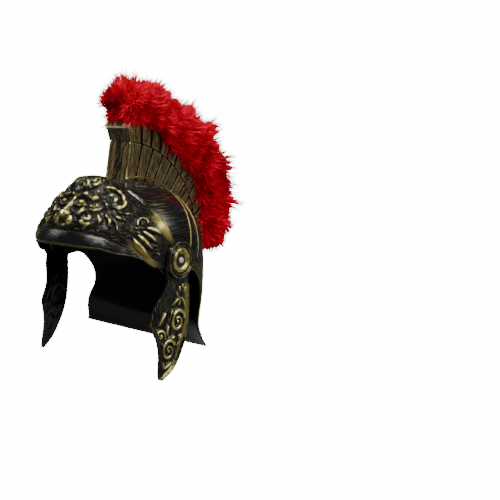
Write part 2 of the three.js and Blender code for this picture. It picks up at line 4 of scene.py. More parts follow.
import bmesh
import bpy
import numpy as np
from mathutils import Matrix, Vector
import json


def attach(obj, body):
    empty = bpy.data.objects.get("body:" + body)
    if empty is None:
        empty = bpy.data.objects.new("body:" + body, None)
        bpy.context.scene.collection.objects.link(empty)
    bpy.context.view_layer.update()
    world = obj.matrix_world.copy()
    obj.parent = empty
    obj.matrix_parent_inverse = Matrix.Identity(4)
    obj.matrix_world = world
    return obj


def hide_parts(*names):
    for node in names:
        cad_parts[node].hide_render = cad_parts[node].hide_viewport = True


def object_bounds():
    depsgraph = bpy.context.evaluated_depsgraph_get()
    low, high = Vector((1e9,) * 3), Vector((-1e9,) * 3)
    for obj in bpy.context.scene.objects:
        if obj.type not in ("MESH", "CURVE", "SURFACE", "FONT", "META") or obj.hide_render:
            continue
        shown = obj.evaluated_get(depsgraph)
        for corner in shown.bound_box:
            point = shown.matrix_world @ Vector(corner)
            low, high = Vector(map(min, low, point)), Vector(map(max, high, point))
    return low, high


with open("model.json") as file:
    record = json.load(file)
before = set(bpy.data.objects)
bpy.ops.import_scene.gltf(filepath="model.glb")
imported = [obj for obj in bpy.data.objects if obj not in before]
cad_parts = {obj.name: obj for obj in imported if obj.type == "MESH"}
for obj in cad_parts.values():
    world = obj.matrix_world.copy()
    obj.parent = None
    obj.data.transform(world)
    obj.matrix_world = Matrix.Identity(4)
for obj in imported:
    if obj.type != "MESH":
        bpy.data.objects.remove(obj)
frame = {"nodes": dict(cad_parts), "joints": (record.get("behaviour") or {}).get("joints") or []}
cad_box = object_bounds()

# Sizes in millimetres and degrees about the rivet axis, as in the frame's own pieces
MM = 0.001
RIVET_AXIS = np.array(frame["joints"][0]["pos_m"])
WALL = 2.2
GAP = 0.3

DOME_HEIGHT = 87
DOME_HALF_WIDTH = 97
DOME_FRONT = 103
DOME_BACK = 104
DOME_CENTRE_Y = 15
SKIRT_HALF_WIDTH = 99.5
HEM_HALF_WIDTH = 112
HEM_DEPTH = 93
HEM_CENTRE_Y = 17.8
HEM_DROP = 99.6
HEM_SLOPE = 0.36

BOSS_FACE = 98.2
EAR_RADIUS = 20
ROSETTE_RADIUS = 22.3
ROSETTE_HEIGHT = 5
RIVET_HOLE = 2.3

VISOR_RADIUS = 98
VISOR_HALF_WIDTH = 103
VISOR_END_ANGLE = 80
VISOR_REAR_ANGLE = 75.5
VISOR_LOW_ANGLE = 21
VISOR_CLEARANCE = 3.6
VISOR_TILT_DOWN = 20
VISOR_TILT_UP = 10
VISOR_HUG_ANGLE = 46
VISOR_EAR_ANGLE = 66
LIP_REACH = 4
LIP_HALF_ANGLE = 62

GUARD_LENGTH = 140
GUARD_WIDTH = 58
GUARD_SWEEP_IN = 13.5
GUARD_SPLAY = 0.03
GUARD_PAD_LENGTH = 24
GUARD_REST_SWING = 13

CREST_CENTRE_Y = 25
CREST_LOWER = (45.4, 18.5)
CREST_UPPER = (26, 15.5)
CREST_LOWER_HALF_WIDTH = 16.8
CREST_UPPER_HALF_WIDTH = 18.6
CREST_LOWER_BLOCKS = 11
CREST_UPPER_BLOCKS = 13
CREST_RIDGE = 4

PLUME_HEIGHT = 46
PLUME_HALF_WIDTH = 32
TAIL_REACH = 62


# Curves and tables

def smoothstep(x, low, high):
    share = np.clip((x - low) / (high - low), 0, 1)
    return share * share * (3 - 2 * share)


def hermite(keys, values, x):
    """A smooth curve through a short table."""
    keys = np.asarray(keys, float)
    values = np.asarray(values, float)
    slopes = np.gradient(values, keys)
    x = np.clip(x, keys[0], keys[-1])
    k = np.clip(np.searchsorted(keys, x) - 1, 0, len(keys) - 2)
    step = keys[k + 1] - keys[k]
    t = (x - keys[k]) / step
    start = (2 * t**3 - 3 * t**2 + 1) * values[k] + (t**3 - 2 * t**2 + t) * step * slopes[k]
    end = (3 * t**2 - 2 * t**3) * values[k + 1] + (t**3 - t**2) * step * slopes[k + 1]
    return start + end


def smooth_path(points, count):
    """Points spread evenly along a smooth curve through a few chosen ones."""
    points = np.asarray(points, float)
    if len(points) == 2:
        share = np.linspace(0, 1, count)[:, None]
        return points[0] * (1 - share) + points[1] * share
    lengths = np.r_[0, np.cumsum(np.linalg.norm(np.diff(points, axis=0), axis=1))]
    where = np.linspace(0, lengths[-1], count)
    return np.stack([hermite(lengths, points[:, k], where) for k in range(points.shape[1])], -1)


def band(x, middle, width):
    """A soft band that is 1 at its middle and fades to both sides."""
    return np.exp(-((x - middle) / width) ** 2)


def unit(vectors):
    """The vectors, each one unit long."""
    return vectors / np.linalg.norm(vectors, axis=-1)[..., None]


def full_turn(count):
    """Evenly spaced angles once round, without the last."""
    return np.linspace(0, 2 * math.pi, count, endpoint=False)


# Meshes and pieces. Points are in millimetres about the rivet axis.

def new_mesh(name, points, faces):
    mesh = bpy.data.meshes.new(name)
    mesh.from_pydata((np.asarray(points) * MM + RIVET_AXIS).tolist(), [], faces)
    return mesh


def read_points(mesh, what="co"):
    """The places or the normals of a mesh's points, one row for each."""
    values = np.zeros(len(mesh.vertices) * 3)
    mesh.vertices.foreach_get(what, values)
    return values.reshape(-1, 3)


def set_values(mesh, values, kind="FLOAT", field="value"):
    """Named values for the points of a mesh."""
    for key, data in values.items():
        attribute = mesh.attributes.new(key, kind, "POINT")
        attribute.data.foreach_set(field, np.asarray(data, np.float32).ravel())


def set_brush_map(mesh, uv):
    """The map along whose U the gold is brushed, from one [u, v] for each point."""
    corners = np.zeros(len(mesh.loops), np.int32)
    mesh.loops.foreach_get("vertex_index", corners)
    layer = mesh.uv_layers.new(name="brush")
    layer.data.foreach_set("uv", np.asarray(uv, np.float32)[corners].ravel())


def set_finish(mesh, finish, sharp_angle=None, smooth=True):
    """One material all over, with edges sharper than an angle in degrees left hard."""
    mesh.materials.clear()
    mesh.materials.append(finish)
    mesh.polygons.foreach_set("use_smooth", [smooth] * len(mesh.polygons))
    mesh.update()
    if sharp_angle:
        mesh.set_sharp_from_angle(angle=math.radians(sharp_angle))


def linked(name, data):
    """A new object in the scene that holds a mesh, a light or a camera."""
    piece = bpy.data.objects.new(name, data)
    bpy.context.scene.collection.objects.link(piece)
    return piece


def apply_modifiers(piece):
    """Leaves the piece the plain mesh that its modifiers give."""
    result = bpy.data.meshes.new_from_object(piece.evaluated_get(bpy.context.evaluated_depsgraph_get()))
    piece.modifiers.clear()
    piece.data = result
    result.name = piece.name
    return result


def finish_piece(piece, body, replaces=()):
    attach(piece, body)
    if replaces:
        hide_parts(*replaces)


def mesh_piece(name, points, faces, slot, replaces, values, uv=None, body="shell",
               sharp_angle=None, smooth=True):
    """A finished piece in its slot's material, on its body."""
    mesh = new_mesh(name, points, faces)
    set_values(mesh, values)
    if uv is not None:
        set_brush_map(mesh, uv)
    set_finish(mesh, FINISHES[slot], sharp_angle, smooth)
    finish_piece(linked(name, mesh), body, replaces)


def grid_faces(rows, columns, wrap=False, start=0, flip=False):
    """Faces between the points of a grid, which may close round its rows."""
    faces = []
    across = columns if wrap else columns - 1
    for r in range(rows - 1):
        for c in range(across):
            a = start + r * columns + c
            b = start + r * columns + (c + 1) % columns
            quad = (a, a + columns, b + columns, b)
            faces.append(quad[::-1] if flip else quad)
    return faces


def shell_faces(rows, columns):
    """Faces of an outer and an inner grid of one size, walled along their edges."""
    size = rows * columns
    low = size - columns
    faces = grid_faces(rows, columns) + grid_faces(rows, columns, False, size, True)
    for c in range(columns - 1):
        d = c + 1
        faces.append((c, d, size + d, size + c))
        faces.append((low + d, low + c, size + low + c, size + low + d))
    for r in range(rows - 1):
        a, b = r * columns, (r + 1) * columns
        faces.append((b, a, size + a, size + b))
        a, b = a + columns - 1, b + columns - 1
        faces.append((a, b, size + b, size + a))
    return faces


def facing_out(points, faces):
    """The faces, turned round if they enclose a negative volume."""
    triangles = np.array([(f[0], f[k], f[k + 1]) for f in faces for k in range(1, len(f) - 1)])
    corners = np.asarray(points)[triangles]
    volume = np.einsum("ij,ij->i", corners[:, 0], np.cross(corners[:, 1], corners[:, 2])).sum()
    return faces if volume > 0 else [f[::-1] for f in faces]


def capped_faces(rows, columns):
    """Faces of a grid that closes round its rows and is capped at both ends."""
    last = (rows - 1) * columns
    caps = [tuple(range(columns)), tuple(last + k for k in reversed(range(columns)))]
    return grid_faces(rows, columns, True) + caps


def tube(path, radius, sides=6, up=(0.3, 0.2, 1.0)):
    """A closed tube along a path, as points and faces."""
    path = np.asarray(path, float)
    along = unit(np.gradient(path, axis=0))
    side = unit(np.cross(along, up))
    top = np.cross(side, along)
    turn = full_turn(sides)
    radius = np.broadcast_to(np.asarray(radius, float), len(path))
    ring = np.cos(turn)[None, :, None] * side[:, None] + np.sin(turn)[None, :, None] * top[:, None]
    points = (path[:, None] + radius[:, None, None] * ring).reshape(-1, 3)
    return points, facing_out(points, capped_faces(len(path), sides))


def lathe(profile, sides):
    """A closed ring turned about the X axis from (radius, x) points."""
    radius, x = np.asarray(profile, float).T[..., None]
    turn = full_turn(sides)
    points = np.stack([x + 0 * turn, radius * np.cos(turn), radius * np.sin(turn)], -1).reshape(-1, 3)
    faces = grid_faces(len(profile), sides, True)
    low = (len(profile) - 1) * sides
    for c in range(sides):
        d = (c + 1) % sides
        faces.append((low + c, c, d, low + d))
    return points, facing_out(points, faces)


def joined(pieces):
    """Several (points, faces) as one."""
    points, faces, start = [], [], 0
    for some_points, some_faces in pieces:
        points.append(np.asarray(some_points))
        faces += [tuple(k + start for k in f) for f in some_faces]
        start += len(some_points)
    return np.concatenate(points), faces


def mirrored(points, faces):
    """The same shape on the helmet's other side."""
    return np.asarray(points) * [-1, 1, 1], [f[::-1] for f in faces]


def blurred(grid, radius):
    """A grid of heights smoothed over a few cells each way."""
    for axis in (0, 1):
        pad = [(0, 0), (0, 0)]
        pad[axis] = (radius, radius)
        total = np.cumsum(np.pad(grid, pad, mode="edge"), axis=axis)
        total = np.insert(total, 0, 0, axis=axis)
        size = 2 * radius + 1
        high = np.take(total, range(size, total.shape[axis]), axis=axis)
        low = np.take(total, range(0, total.shape[axis] - size), axis=axis)
        grid = (high - low) / size
    return grid


# Relief

CLUMP_WAVES = 9


def clump(points, size, seed):
    """A soft lumpy value from 0 to 1, made of waves in many directions."""
    random = np.random.default_rng(seed)
    total = np.zeros(len(points))
    for _ in range(CLUMP_WAVES):
        direction = random.normal(size=3)
        direction *= 2 * math.pi / size / np.linalg.norm(direction) * random.uniform(0.7, 1.5)
        total += np.sin(points @ direction + random.uniform(0, 2 * math.pi))
    return 0.5 + 0.5 * np.tanh(total / 3.0)


def stroke_height(points, path, half_width, height, taper=(1, 1), pointed=False, groove=0.0):
    """How high a raised stroke stands at each point, from its distance to the nearest bit of the path."""
    out = np.zeros(len(points))
    low = path.min(axis=0) - half_width
    high = path.max(axis=0) + half_width
    near = np.all((points >= low) & (points <= high), axis=1)
    if not near.any():
        return out
    some = points[near]
    best = np.full(len(some), 1e9)
    where = np.zeros(len(some))
    for k in range(len(path) - 1):
        a, d = path[k], path[k + 1] - path[k]
        t = np.clip((some - a) @ d / (d @ d + 1e-12), 0, 1)
        gap = np.linalg.norm(some - a - t[:, None] * d, axis=1)
        closer = gap < best
        best = np.where(closer, gap, best)
        where = np.where(closer, (k + t) / (len(path) - 1), where)
    width = half_width * (taper[0] + (taper[1] - taper[0]) * where)
    if pointed:
        width = half_width * (0.12 + 0.88 * np.sin(math.pi * where ** 0.8) ** 0.7)
    share = np.clip(1 - (best / np.maximum(width, 1e-6)) ** 2, 0, 1)
    rise = height * share ** 0.9 * (0.35 + 0.65 * width / half_width)
    if groove:
        rise *= 1 - groove * np.exp(-((best / (0.3 * width + 1e-6)) ** 2)) * (share > 0)
    out[near] = rise
    return out


def ridge(path, half_width, height, start=1, end=1):
    """A raised stroke whose width runs from one share to another along its path."""
    return {"path": path, "half_width": half_width, "height": height, "taper": (start, end)}


def leaf(path, half_width, height, groove=0.0):
    """A raised stroke that is pointed at both ends, if wished with a groove along it."""
    return {"path": path, "half_width": half_width, "height": height, "pointed": True, "groove": groove}


def raised_strokes(points, strokes, path_points):
    """The height of the highest stroke at each point. path_points turns a stroke's path
    into places among the points."""
    relief = np.zeros(len(points))
    for stroke in strokes:
        settings = {**stroke, "path": path_points(stroke["path"])}
        relief = np.maximum(relief, stroke_height(points, **settings))
    return relief


# Materials

BLACK = (0.006, 0.006, 0.007, 1)
DARK_GOLD = (0.09, 0.08, 0.024, 1)
PALE_GOLD = (0.64, 0.56, 0.17, 1)
DARK_BROWN_GOLD = (0.14, 0.106, 0.046, 1)
PALE_BROWN_GOLD = (1.0, 0.77, 0.33, 1)
STEEL_TONES = (0.7, 0.7, 0.7, 1), (0.95, 0.95, 0.93, 1)
# Down at the roots, darker as painted shade, and at the tips: each a pair of tones
SHADED_ROOT_DOWN = (0.36, 0.0, 0.02, 1), (0.66, 0.0, 0.034, 1)
DOWN_TIPS = (0.85, 0.0, 0.036, 1), (0.98, 0.003, 0.055, 1)

# Dry brush: fineness of both noise layers, where a stroke begins and is full, and what coverage adds
BRUSH_LAYERS = (1.0, 2.7)
STROKE_EDGE = (0.3, 0.46)
COVERAGE_WEIGHT = 0.3
# Rubbed gold, which on some edges and fields also stands as a painted highlight: its unevenness, and where
# its pale and its dark tone begin and are full
WIPE_UNEVENNESS = 0.35
PALE_WIPE = (0.34, 0.72)
DARK_WIPE = (0.08, 0.4)
# Surface of the gold and of the bare plastic
GOLD_METAL = 0.85
GOLD_DULLNESS = 0.14
PLASTIC_ROUGHNESS = 0.15
PLASTIC_SPECULAR = 0.32


def feed(tree, made, values):
    """Sets inputs of a node, each to a value or to the socket that feeds it."""
    for socket, value in values.items():
        if isinstance(value, bpy.types.NodeSocket):
            tree.links.new(value, made.inputs[socket])
        else:
            made.inputs[socket].default_value = value


def node(tree, kind, values=None, **settings):
    """A node with its settings, and its inputs as feed takes them."""
    made = tree.nodes.new(kind)
    for key, value in settings.items():
        setattr(made, key, value)
    feed(tree, made, values or {})
    return made


def add_sockets(group, in_out, sockets):
    """Named inputs or outputs of a node group, each with its kind."""
    for name, kind in sockets.items():
        group.interface.new_socket(name, in_out=in_out, socket_type="NodeSocket" + kind)


def new_material(name):
    material = bpy.data.materials.new(name)
    material.use_nodes = True
    return material, material.node_tree, material.node_tree.nodes["Principled BSDF"]


def maths(tree, operation, a, b, clamp=False):
    return node(tree, "ShaderNodeMath", {0: a, 1: b}, operation=operation, use_clamp=clamp).outputs[0]


def mixed(tree, share, a, b):
    """A colour between two others, which are inputs 6 and 7 of the mix node."""
    return node(tree, "ShaderNodeMix", {0: share, 6: a, 7: b}, data_type="RGBA").outputs[2]


def ranged(tree, value, low, high, start=0.0, end=1.0):
    """A value carried from one range to another and kept within its ends."""
    ends = {"From Min": low, "From Max": high, "To Min": start, "To Max": end}
    return node(tree, "ShaderNodeMapRange", {"Value": value, **ends}).outputs[0]


def point_value(tree, name):
    """What the pieces store under a name for each of their points."""
    return node(tree, "ShaderNodeAttribute", attribute_name=name).outputs["Fac"]


def brush_group():
    """Dry-brush strokes that run along the U direction of the piece's brush map."""
    group = bpy.data.node_groups.new("Dry brush strokes", "ShaderNodeTree")
    add_sockets(group, "INPUT", {"Length": "Float", "Fineness": "Float", "Coverage": "Float"})
    add_sockets(group, "OUTPUT", {"Strokes": "Float", "Grain": "Float"})
    given = node(group, "NodeGroupInput").outputs
    uv = node(group, "ShaderNodeUVMap", uv_map="brush").outputs[0]
    parts = node(group, "ShaderNodeSeparateXYZ", {0: uv}).outputs
    along = maths(group, "DIVIDE", parts[0], given["Length"])
    layers = []
    for layer in BRUSH_LAYERS:
        across = maths(group, "MULTIPLY", parts[1], maths(group, "MULTIPLY", given["Fineness"], layer))
        place = node(group, "ShaderNodeCombineXYZ", {0: along, 1: across, 2: layer}).outputs[0]
        noise = node(group, "ShaderNodeTexNoise",
                     {"Vector": place, "Scale": 1.0, "Detail": 4.0, "Roughness": 0.62})
        layers.append(noise.outputs["Fac"])
    grain = maths(group, "MULTIPLY", *layers)
    raised = maths(group, "ADD", grain, maths(group, "MULTIPLY", given["Coverage"], COVERAGE_WEIGHT))
    strokes = ranged(group, raised, *STROKE_EDGE)
    node(group, "NodeGroupOutput", {"Strokes": strokes, "Grain": layers[1]})
    return group


BRUSH = brush_group()


def antique_material(name, length, fineness, coverage, rub_gain, pale=PALE_GOLD, dark=DARK_GOLD):
    """Glossy black plastic with gold rubbed on the high parts and brushed over the plain ones."""
    material, tree, shader = new_material(name)
    cover = maths(tree, "ADD", point_value(tree, "cover"), coverage)
    brush = node(tree, "ShaderNodeGroup", {"Length": length, "Fineness": fineness, "Coverage": cover},
                 node_tree=BRUSH)
    strokes, grain = brush.outputs["Strokes"], brush.outputs["Grain"]
    wiped = maths(tree, "MULTIPLY", point_value(tree, "rub"), maths(tree, "ADD", grain, WIPE_UNEVENNESS))
    high = ranged(tree, wiped, *PALE_WIPE, 0.0, rub_gain)
    low = ranged(tree, wiped, *DARK_WIPE)
    pale_share = maths(tree, "MAXIMUM", high, maths(tree, "MULTIPLY", strokes, grain), True)
    dark_share = maths(tree, "MAXIMUM", strokes, low, True)
    gold_share = maths(tree, "MAXIMUM", pale_share, dark_share)
    dulled = maths(tree, "MULTIPLY", dark_share, GOLD_DULLNESS)
    bump = node(tree, "ShaderNodeBump", {"Strength": 0.3, "Distance": 0.0005, "Height": grain})
    feed(tree, shader, {
        "Base Color": mixed(tree, pale_share, mixed(tree, dark_share, BLACK, dark), pale),
        "Metallic": maths(tree, "MULTIPLY", gold_share, GOLD_METAL, True),
        "Roughness": maths(tree, "ADD", dulled, PLASTIC_ROUGHNESS),
        "Specular IOR Level": PLASTIC_SPECULAR,
        "Normal": bump.outputs[0],
    })
    return material


def steel_material():
    """The grey metal of the rivets, a little uneven."""
    material, tree, shader = new_material("rivet steel")
    place = node(tree, "ShaderNodeTexCoord").outputs["Object"]
    noise = node(tree, "ShaderNodeTexNoise", {"Vector": place, "Scale": 900.0, "Detail": 3.0})
    colour = mixed(tree, noise.outputs["Fac"], *STEEL_TONES)
    feed(tree, shader, {"Base Color": colour, "Metallic": 0.5, "Roughness": 0.35})
    return material


def feather_material():
    """Dyed down, darker at the roots as painted shade and paler at the tips of its barbs."""
    material, tree, shader = new_material("red down")
    tip, tone = point_value(tree, "tip"), point_value(tree, "tone")
    colour = mixed(tree, tip, mixed(tree, tone, *SHADED_ROOT_DOWN), mixed(tree, tone, *DOWN_TIPS))
    feed(tree, shader, {"Base Color": colour, "Roughness": 0.75, "Specular IOR Level": 0.1})
    return material


# Stroke length in millimetres, fineness, coverage and strength of the rubbed gold
FINISHES = {
    "skull_plastic": antique_material("skull black and gold", 48.0, 1.3, -0.04, 0.9),
    "relief_plastic": antique_material("relief black and gold", 9.0, 1.0, -0.05, 1.0),
    "crest_plastic": antique_material("crest brown gold", 20.0, 1.1, 0.05, 1.0,
                                      PALE_BROWN_GOLD, DARK_BROWN_GOLD),
    "rivet_steel": steel_material(),
    "plume_feather": feather_material(),
}


# Skull. The skirt below the rivets has, at shares of its drop, shares of width, depth and tilt.

SKIRT_DROP = [0, 0.15, 0.32, 0.48, 0.62, 0.73, 0.8, 0.9, 1.0]
SKIRT_WIDTH = [-0.2, -0.167, 0, 0.08, 0.12, 0.16, 0.24, 0.58, 1.0]
SKIRT_DEPTH = [1.0, 0.709, 0.382, -0.191, -0.764, -1.255, -1.377, -1.0, 0.0]
SKIRT_TILT = [0, 0, 0.14, 0.33, 0.55, 0.75, 0.86, 0.95, 1.0]


def skull_point(turn, level, inset=0.0):
    """The skull's skin: turn from the back, level 0 at the crown, 1 at the rivets, 2 at the hem."""
    turn, level = np.broadcast_arrays(np.asarray(turn, float), np.asarray(level, float))
    angle = np.clip(level, 0, 1) * math.pi / 2
    back = np.cos(turn) > 0
    reach = np.where(back, DOME_BACK, DOME_FRONT) - inset
    dome = np.stack([
        (DOME_HALF_WIDTH - inset) * np.sin(angle) * np.sin(turn),
        DOME_CENTRE_Y + reach * np.sin(angle) * np.cos(turn),
        (DOME_HEIGHT - inset) * np.cos(angle),
    ], -1)
    drop = np.clip(level - 1, 0, 1)
    width = hermite(SKIRT_DROP, SKIRT_WIDTH, drop)
    half = SKIRT_HALF_WIDTH + (HEM_HALF_WIDTH - SKIRT_HALF_WIDTH) * width - inset
    deep = HEM_DEPTH + (DOME_BACK - HEM_DEPTH) * hermite(SKIRT_DROP, SKIRT_DEPTH, drop)
    deep = np.where(back, deep, DOME_FRONT) - inset
    centre = DOME_CENTRE_Y + (HEM_CENTRE_Y - DOME_CENTRE_Y) * smoothstep(drop, 0, SKIRT_DROP[1])
    y = centre + deep * np.cos(turn)
    tilt = np.where(back, HEM_SLOPE * hermite(SKIRT_DROP, SKIRT_TILT, drop) * (y - HEM_CENTRE_Y), 0)
    skirt = np.stack([half * np.sin(turn), y, -HEM_DROP * drop - tilt], -1)
    return np.where((level <= 1)[..., None], dome, skirt)


def skull_side(y, z, lift=0.0):
    """The left side's point of the skull's skin at each [y, z]."""
    y, z = np.asarray(y, float), np.asarray(z, float)
    low, high = np.zeros_like(y), np.full_like(y, 2.0)
    turn = np.full_like(y, math.pi / 2)
    for _ in range(60):
        middle = (low + high) / 2
        for _ in range(3):
            point = skull_point(turn, middle)
            behind = skull_point(turn - 1e-4, middle)
            slope = (behind[..., 1] - point[..., 1]) / 1e-4
            turn = np.clip(turn - (y - point[..., 1]) / np.maximum(np.abs(slope), 5), 0.05, math.pi - 0.05)
        above = skull_point(turn, middle)[..., 2] > z
        low, high = np.where(above, middle, low), np.where(above, high, middle)
    point = skull_point(turn, (low + high) / 2)
    point[..., 0] += lift
    return point


# What is cut out of the skull, as [y, z]: the face and, at its rear, the ear notches
FACE_OUTLINE = [
    (-190, 15), (-57.7, 15), (-44, 12), (-30.9, 6), (-23, -3), (-18, -10.2), (-13.5, -15.5), (-8.5, -18),
    (8.5, -18), (22, -16.4), (32, -16), (40, -20), (46.5, -26.3), (51.5, -33), (55, -40), (56.8, -47),
    (57, -54), (56, -61), (53.5, -66.8), (50.5, -72), (48.5, -77), (47.2, -83), (47, -89.6), (49, -97),
    (52, -103.6), (57, -120), (57, -199), (-190, -199),
]


def cutter(outline, half_width):
    """A prism across the helmet with a [y, z] outline."""
    points = [(x, y, z) for x in (-half_width, half_width) for y, z in outline]
    count = len(outline)
    faces = [tuple(range(count)), tuple(range(2 * count - 1, count - 1, -1))]
    faces += [(k, (k + 1) % count, count + (k + 1) % count, count + k) for k in range(count)]
    return linked("cutter", new_mesh("cutter", points, facing_out(points, faces)))


def skull_shell():
    """Dome, skirt and neck guard in one wall, with the face cut out of it."""
    columns, outer_rows, inner_rows = 288, 120, 44
    turn = full_turn(columns)[None]
    outside = skull_point(turn, np.linspace(0.012, 2, outer_rows)[:, None])
    inside = skull_point(turn, np.linspace(2, 0.02, inner_rows)[:, None], WALL)
    points = np.concatenate([outside, inside]).reshape(-1, 3)
    faces = facing_out(points, capped_faces(outer_rows + inner_rows, columns))
    shell = linked("skull_shell", new_mesh("skull_shell", points, faces))
    tool = cutter(FACE_OUTLINE, 2 * HEM_HALF_WIDTH)
    cut = shell.modifiers.new("face", "BOOLEAN")
    cut.operation = "DIFFERENCE"
    cut.solver = "EXACT"
    cut.object = tool
    dress_skull(apply_modifiers(shell))
    bpy.data.objects.remove(tool)
    finish_piece(shell, "shell", ("skull",))


def dress_skull(mesh):
    """Brush map, gold wear and material of the cut skull, all from where its points lie."""
    mean_radius, hem_band = 95, 4
    spots = (read_points(mesh) - RIVET_AXIS) / MM
    x, y, z = spots.T
    around = np.arctan2(x, y - DOME_CENTRE_Y) * mean_radius
    outward = np.einsum("ij,ij->i", read_points(mesh, "normal"), spots - [0, DOME_CENTRE_Y, 0]) > 0
    # Strokes run round the dome and down the neck
    neck = 1 - smoothstep(z, -35, 5)
    set_brush_map(mesh, np.stack([around * (1 - neck) + z * neck, z * (1 - neck) + around * neck], -1))
    hem = smoothstep(-z - HEM_SLOPE * np.clip(y - HEM_CENTRE_Y, 0, None), HEM_DROP - hem_band, HEM_DROP)
    bare_flange = smoothstep(-z, 92, 104)
    set_values(mesh, {
        "rub": np.where(outward, 0.5 * hem, 0),
        "cover": np.where(outward, 0.25 * neck - 0.5 * bare_flange, -1.0),
    })
    set_finish(mesh, FINISHES["skull_plastic"], 35)


skull_shell()


# Brow visor

# Rise of the visor's low edge at side angles, as a share of its rise at the middle
LOW_SIDE = [0, 31, 40, 52, 61, 70, 80]
LOW_RISE = [1.0, 1.0, 0.86, 0.7, 0.33, -0.45, -1.0]


def low_edge(side):
    """The rise angle of the visor's low edge."""
    return VISOR_LOW_ANGLE * np.interp(np.abs(side), LOW_SIDE, LOW_RISE)


def ear_face(inset):
    """How far out the visor's flat ear lies."""
    return BOSS_FACE + GAP + WALL - inset


def dome_from_axis(share, rise):
    """How far the dome's skin lies from the rivet axis, at a share of its half width."""
    round_share = np.sqrt(1 - share ** 2)
    offset = DOME_CENTRE_Y / (DOME_FRONT * round_share)
    forward = np.cos(rise) / (DOME_FRONT * round_share)
    up = np.sin(rise) / (DOME_HEIGHT * round_share)
    a = forward ** 2 + up ** 2
    b = 2 * offset * forward
    inside = np.maximum(b ** 2 - 4 * a * (offset ** 2 - 1), 0)
    return np.where(offset < 1, (-b + np.sqrt(inside)) / (2 * a), 0)


def visor_point(side, rise, lift=0.0, inset=0.0):
    """The visor's skin at a side angle and a rise angle in degrees."""
    across = np.sin(np.radians(side))
    straight = np.cos(np.radians(side))
    tilted = np.maximum(dome_from_axis(across, np.radians(rise - VISOR_TILT_DOWN)),
                        dome_from_axis(across, np.radians(rise + VISOR_TILT_UP)))
    ear = smoothstep(np.abs(side), VISOR_HUG_ANGLE, VISOR_EAR_ANGLE)
    face = ear_face(inset)
    close_x = (DOME_HALF_WIDTH + VISOR_CLEARANCE - inset) * across
    ear_x = np.clip((VISOR_HALF_WIDTH - inset) * across, -face, face)
    away = (tilted + VISOR_CLEARANCE - inset) * (1 - ear) + (VISOR_RADIUS - inset) * straight * ear
    away = away + lift * straight
    x = close_x * (1 - ear) + ear_x * ear + lift * across
    rise = np.radians(rise)
    return np.stack([x, -away * np.cos(rise), away * np.sin(rise)], -1)


# Raised strokes of the mask and its leaves on the wearer's left. The path is side and
# rise in degrees, followed by the half width and the height in millimetres.
MASK_STROKES = [
    ridge([(0, 33), (0, 40), (0, 47)], 7, 7.0, 1, 0.6),
    ridge([(0, 31), (1.5, 32.5)], 7, 8.5),
    ridge([(4.5, 28.5), (6, 29)], 8, 7.0),
    ridge([(0, 22.8), (2, 23)], 7, 5.0),
    ridge([(2, 49.5), (5, 51.5), (8, 51)], 4.5, 6.8, 0.7, 1),
    ridge([(10, 50.5), (13, 48.5)], 4.2, 6.0, 1, 0.6),
    ridge([(7.5, 43.6), (8.5, 43.6)], 4.3, 6.0),
    ridge([(4, 41.5), (8, 40.5), (12, 42)], 2.2, 5.2),
    ridge([(11, 35), (13, 38)], 8, 5.6),
    ridge([(0, 54), (4, 55)], 8, 6.0),
    ridge([(1, 60), (6, 62), (9, 59)], 4.5, 5.5, 0.6, 1),
    ridge([(15, 49), (16.5, 50)], 6.5, 7.5),
]

# Rings of the mane: start and end in degrees from its middle, half width, height and locks
MASK_RINGS = [(14, 24, 6.0, 7.0, 7), (19, 29, 5.6, 5.6, 6), (25, 33, 4.6, 3.4, 6)]


def mask_locks():
    """Mane locks that radiate round the face, in three rings that bend to one side."""
    random = np.random.default_rng(4)
    locks = []
    centre = np.array([0.0, 39.0])
    for ring, (start, end, wide, high, count) in enumerate(MASK_RINGS):
        for k in range(count):
            turn = math.radians(-38 + 135 * (k + 0.5 * (ring % 2)) / count + random.uniform(-5, 5))
            bend = random.uniform(0.2, 0.5) * (-1) ** k
            scale = random.uniform(0.8, 1.15)
            path = []
            for share in (0, 0.5, 1):
                reach = start + (end - start) * share * scale
                angle = turn + bend * share * share
                spot = centre + reach * np.array([math.cos(angle), math.sin(angle)])
                path.append((spot[0], min(spot[1], 72)))
            locks.append(leaf(path, wide * scale, high * scale, 0.45))
    return locks


LEAF_STROKES = [
    ridge([(15, 60), (21, 64.5), (28, 63.5), (33, 57), (32, 50)], 5.0, 6.0, 0.5, 1),
    leaf([(19, 56), (25, 58), (28, 53), (27, 47)], 4.8, 6.2),
    leaf([(18, 50), (23, 50), (26, 44)], 4.4, 5.6),
    leaf([(16, 37), (19, 33), (20, 27)], 3.8, 5.8),
    leaf([(21, 39), (25, 35), (26, 28)], 4.0, 5.8),
    leaf([(25, 41), (31, 37), (33, 30)], 3.6, 5.0),
    leaf([(28, 44), (35, 42), (41, 44)], 3.2, 4.2),
    leaf([(30, 41), (36, 36), (39, 29)], 3.2, 3.6),
    leaf([(30, 47), (37, 49), (42, 54)], 3.0, 3.6),
    ridge([(48, 46), (46.8, 52), (49.5, 57.5), (53.2, 56), (53, 50.5), (50.5, 49)], 2.2, 3.0),
    ridge([(48.5, 41), (49, 41.2)], 2.2, 2.8),
    ridge([(52, 43.5), (52.4, 43.7)], 2.2, 2.8),
    leaf([(44, 36), (48, 35), (51, 37)], 2.0, 2.4),
    leaf([(49, 29), (56, 21), (64, 11)], 6.0, 5.4),
    leaf([(51, 35), (59, 29), (67, 22)], 5.6, 5.4),
    leaf([(53, 41), (60, 39), (68, 36)], 5.0, 5.2),
    leaf([(54, 46), (61, 50), (68, 54)], 5.0, 5.0),
    ridge([(68, 30), (68.5, 30)], 2.2, 2.6),
    ridge([(70, 24), (70.4, 24)], 2.0, 2.4),
    ridge([(71.5, 17), (71.9, 17)], 2.0, 2.4),
]

# Swellings under the mask: rise and half height in degrees, and height in millimetres
SWELLINGS = [(39, 20, 2.0), (68, 12, 10.0)]
SWELLING_HALF_ANGLE = 22


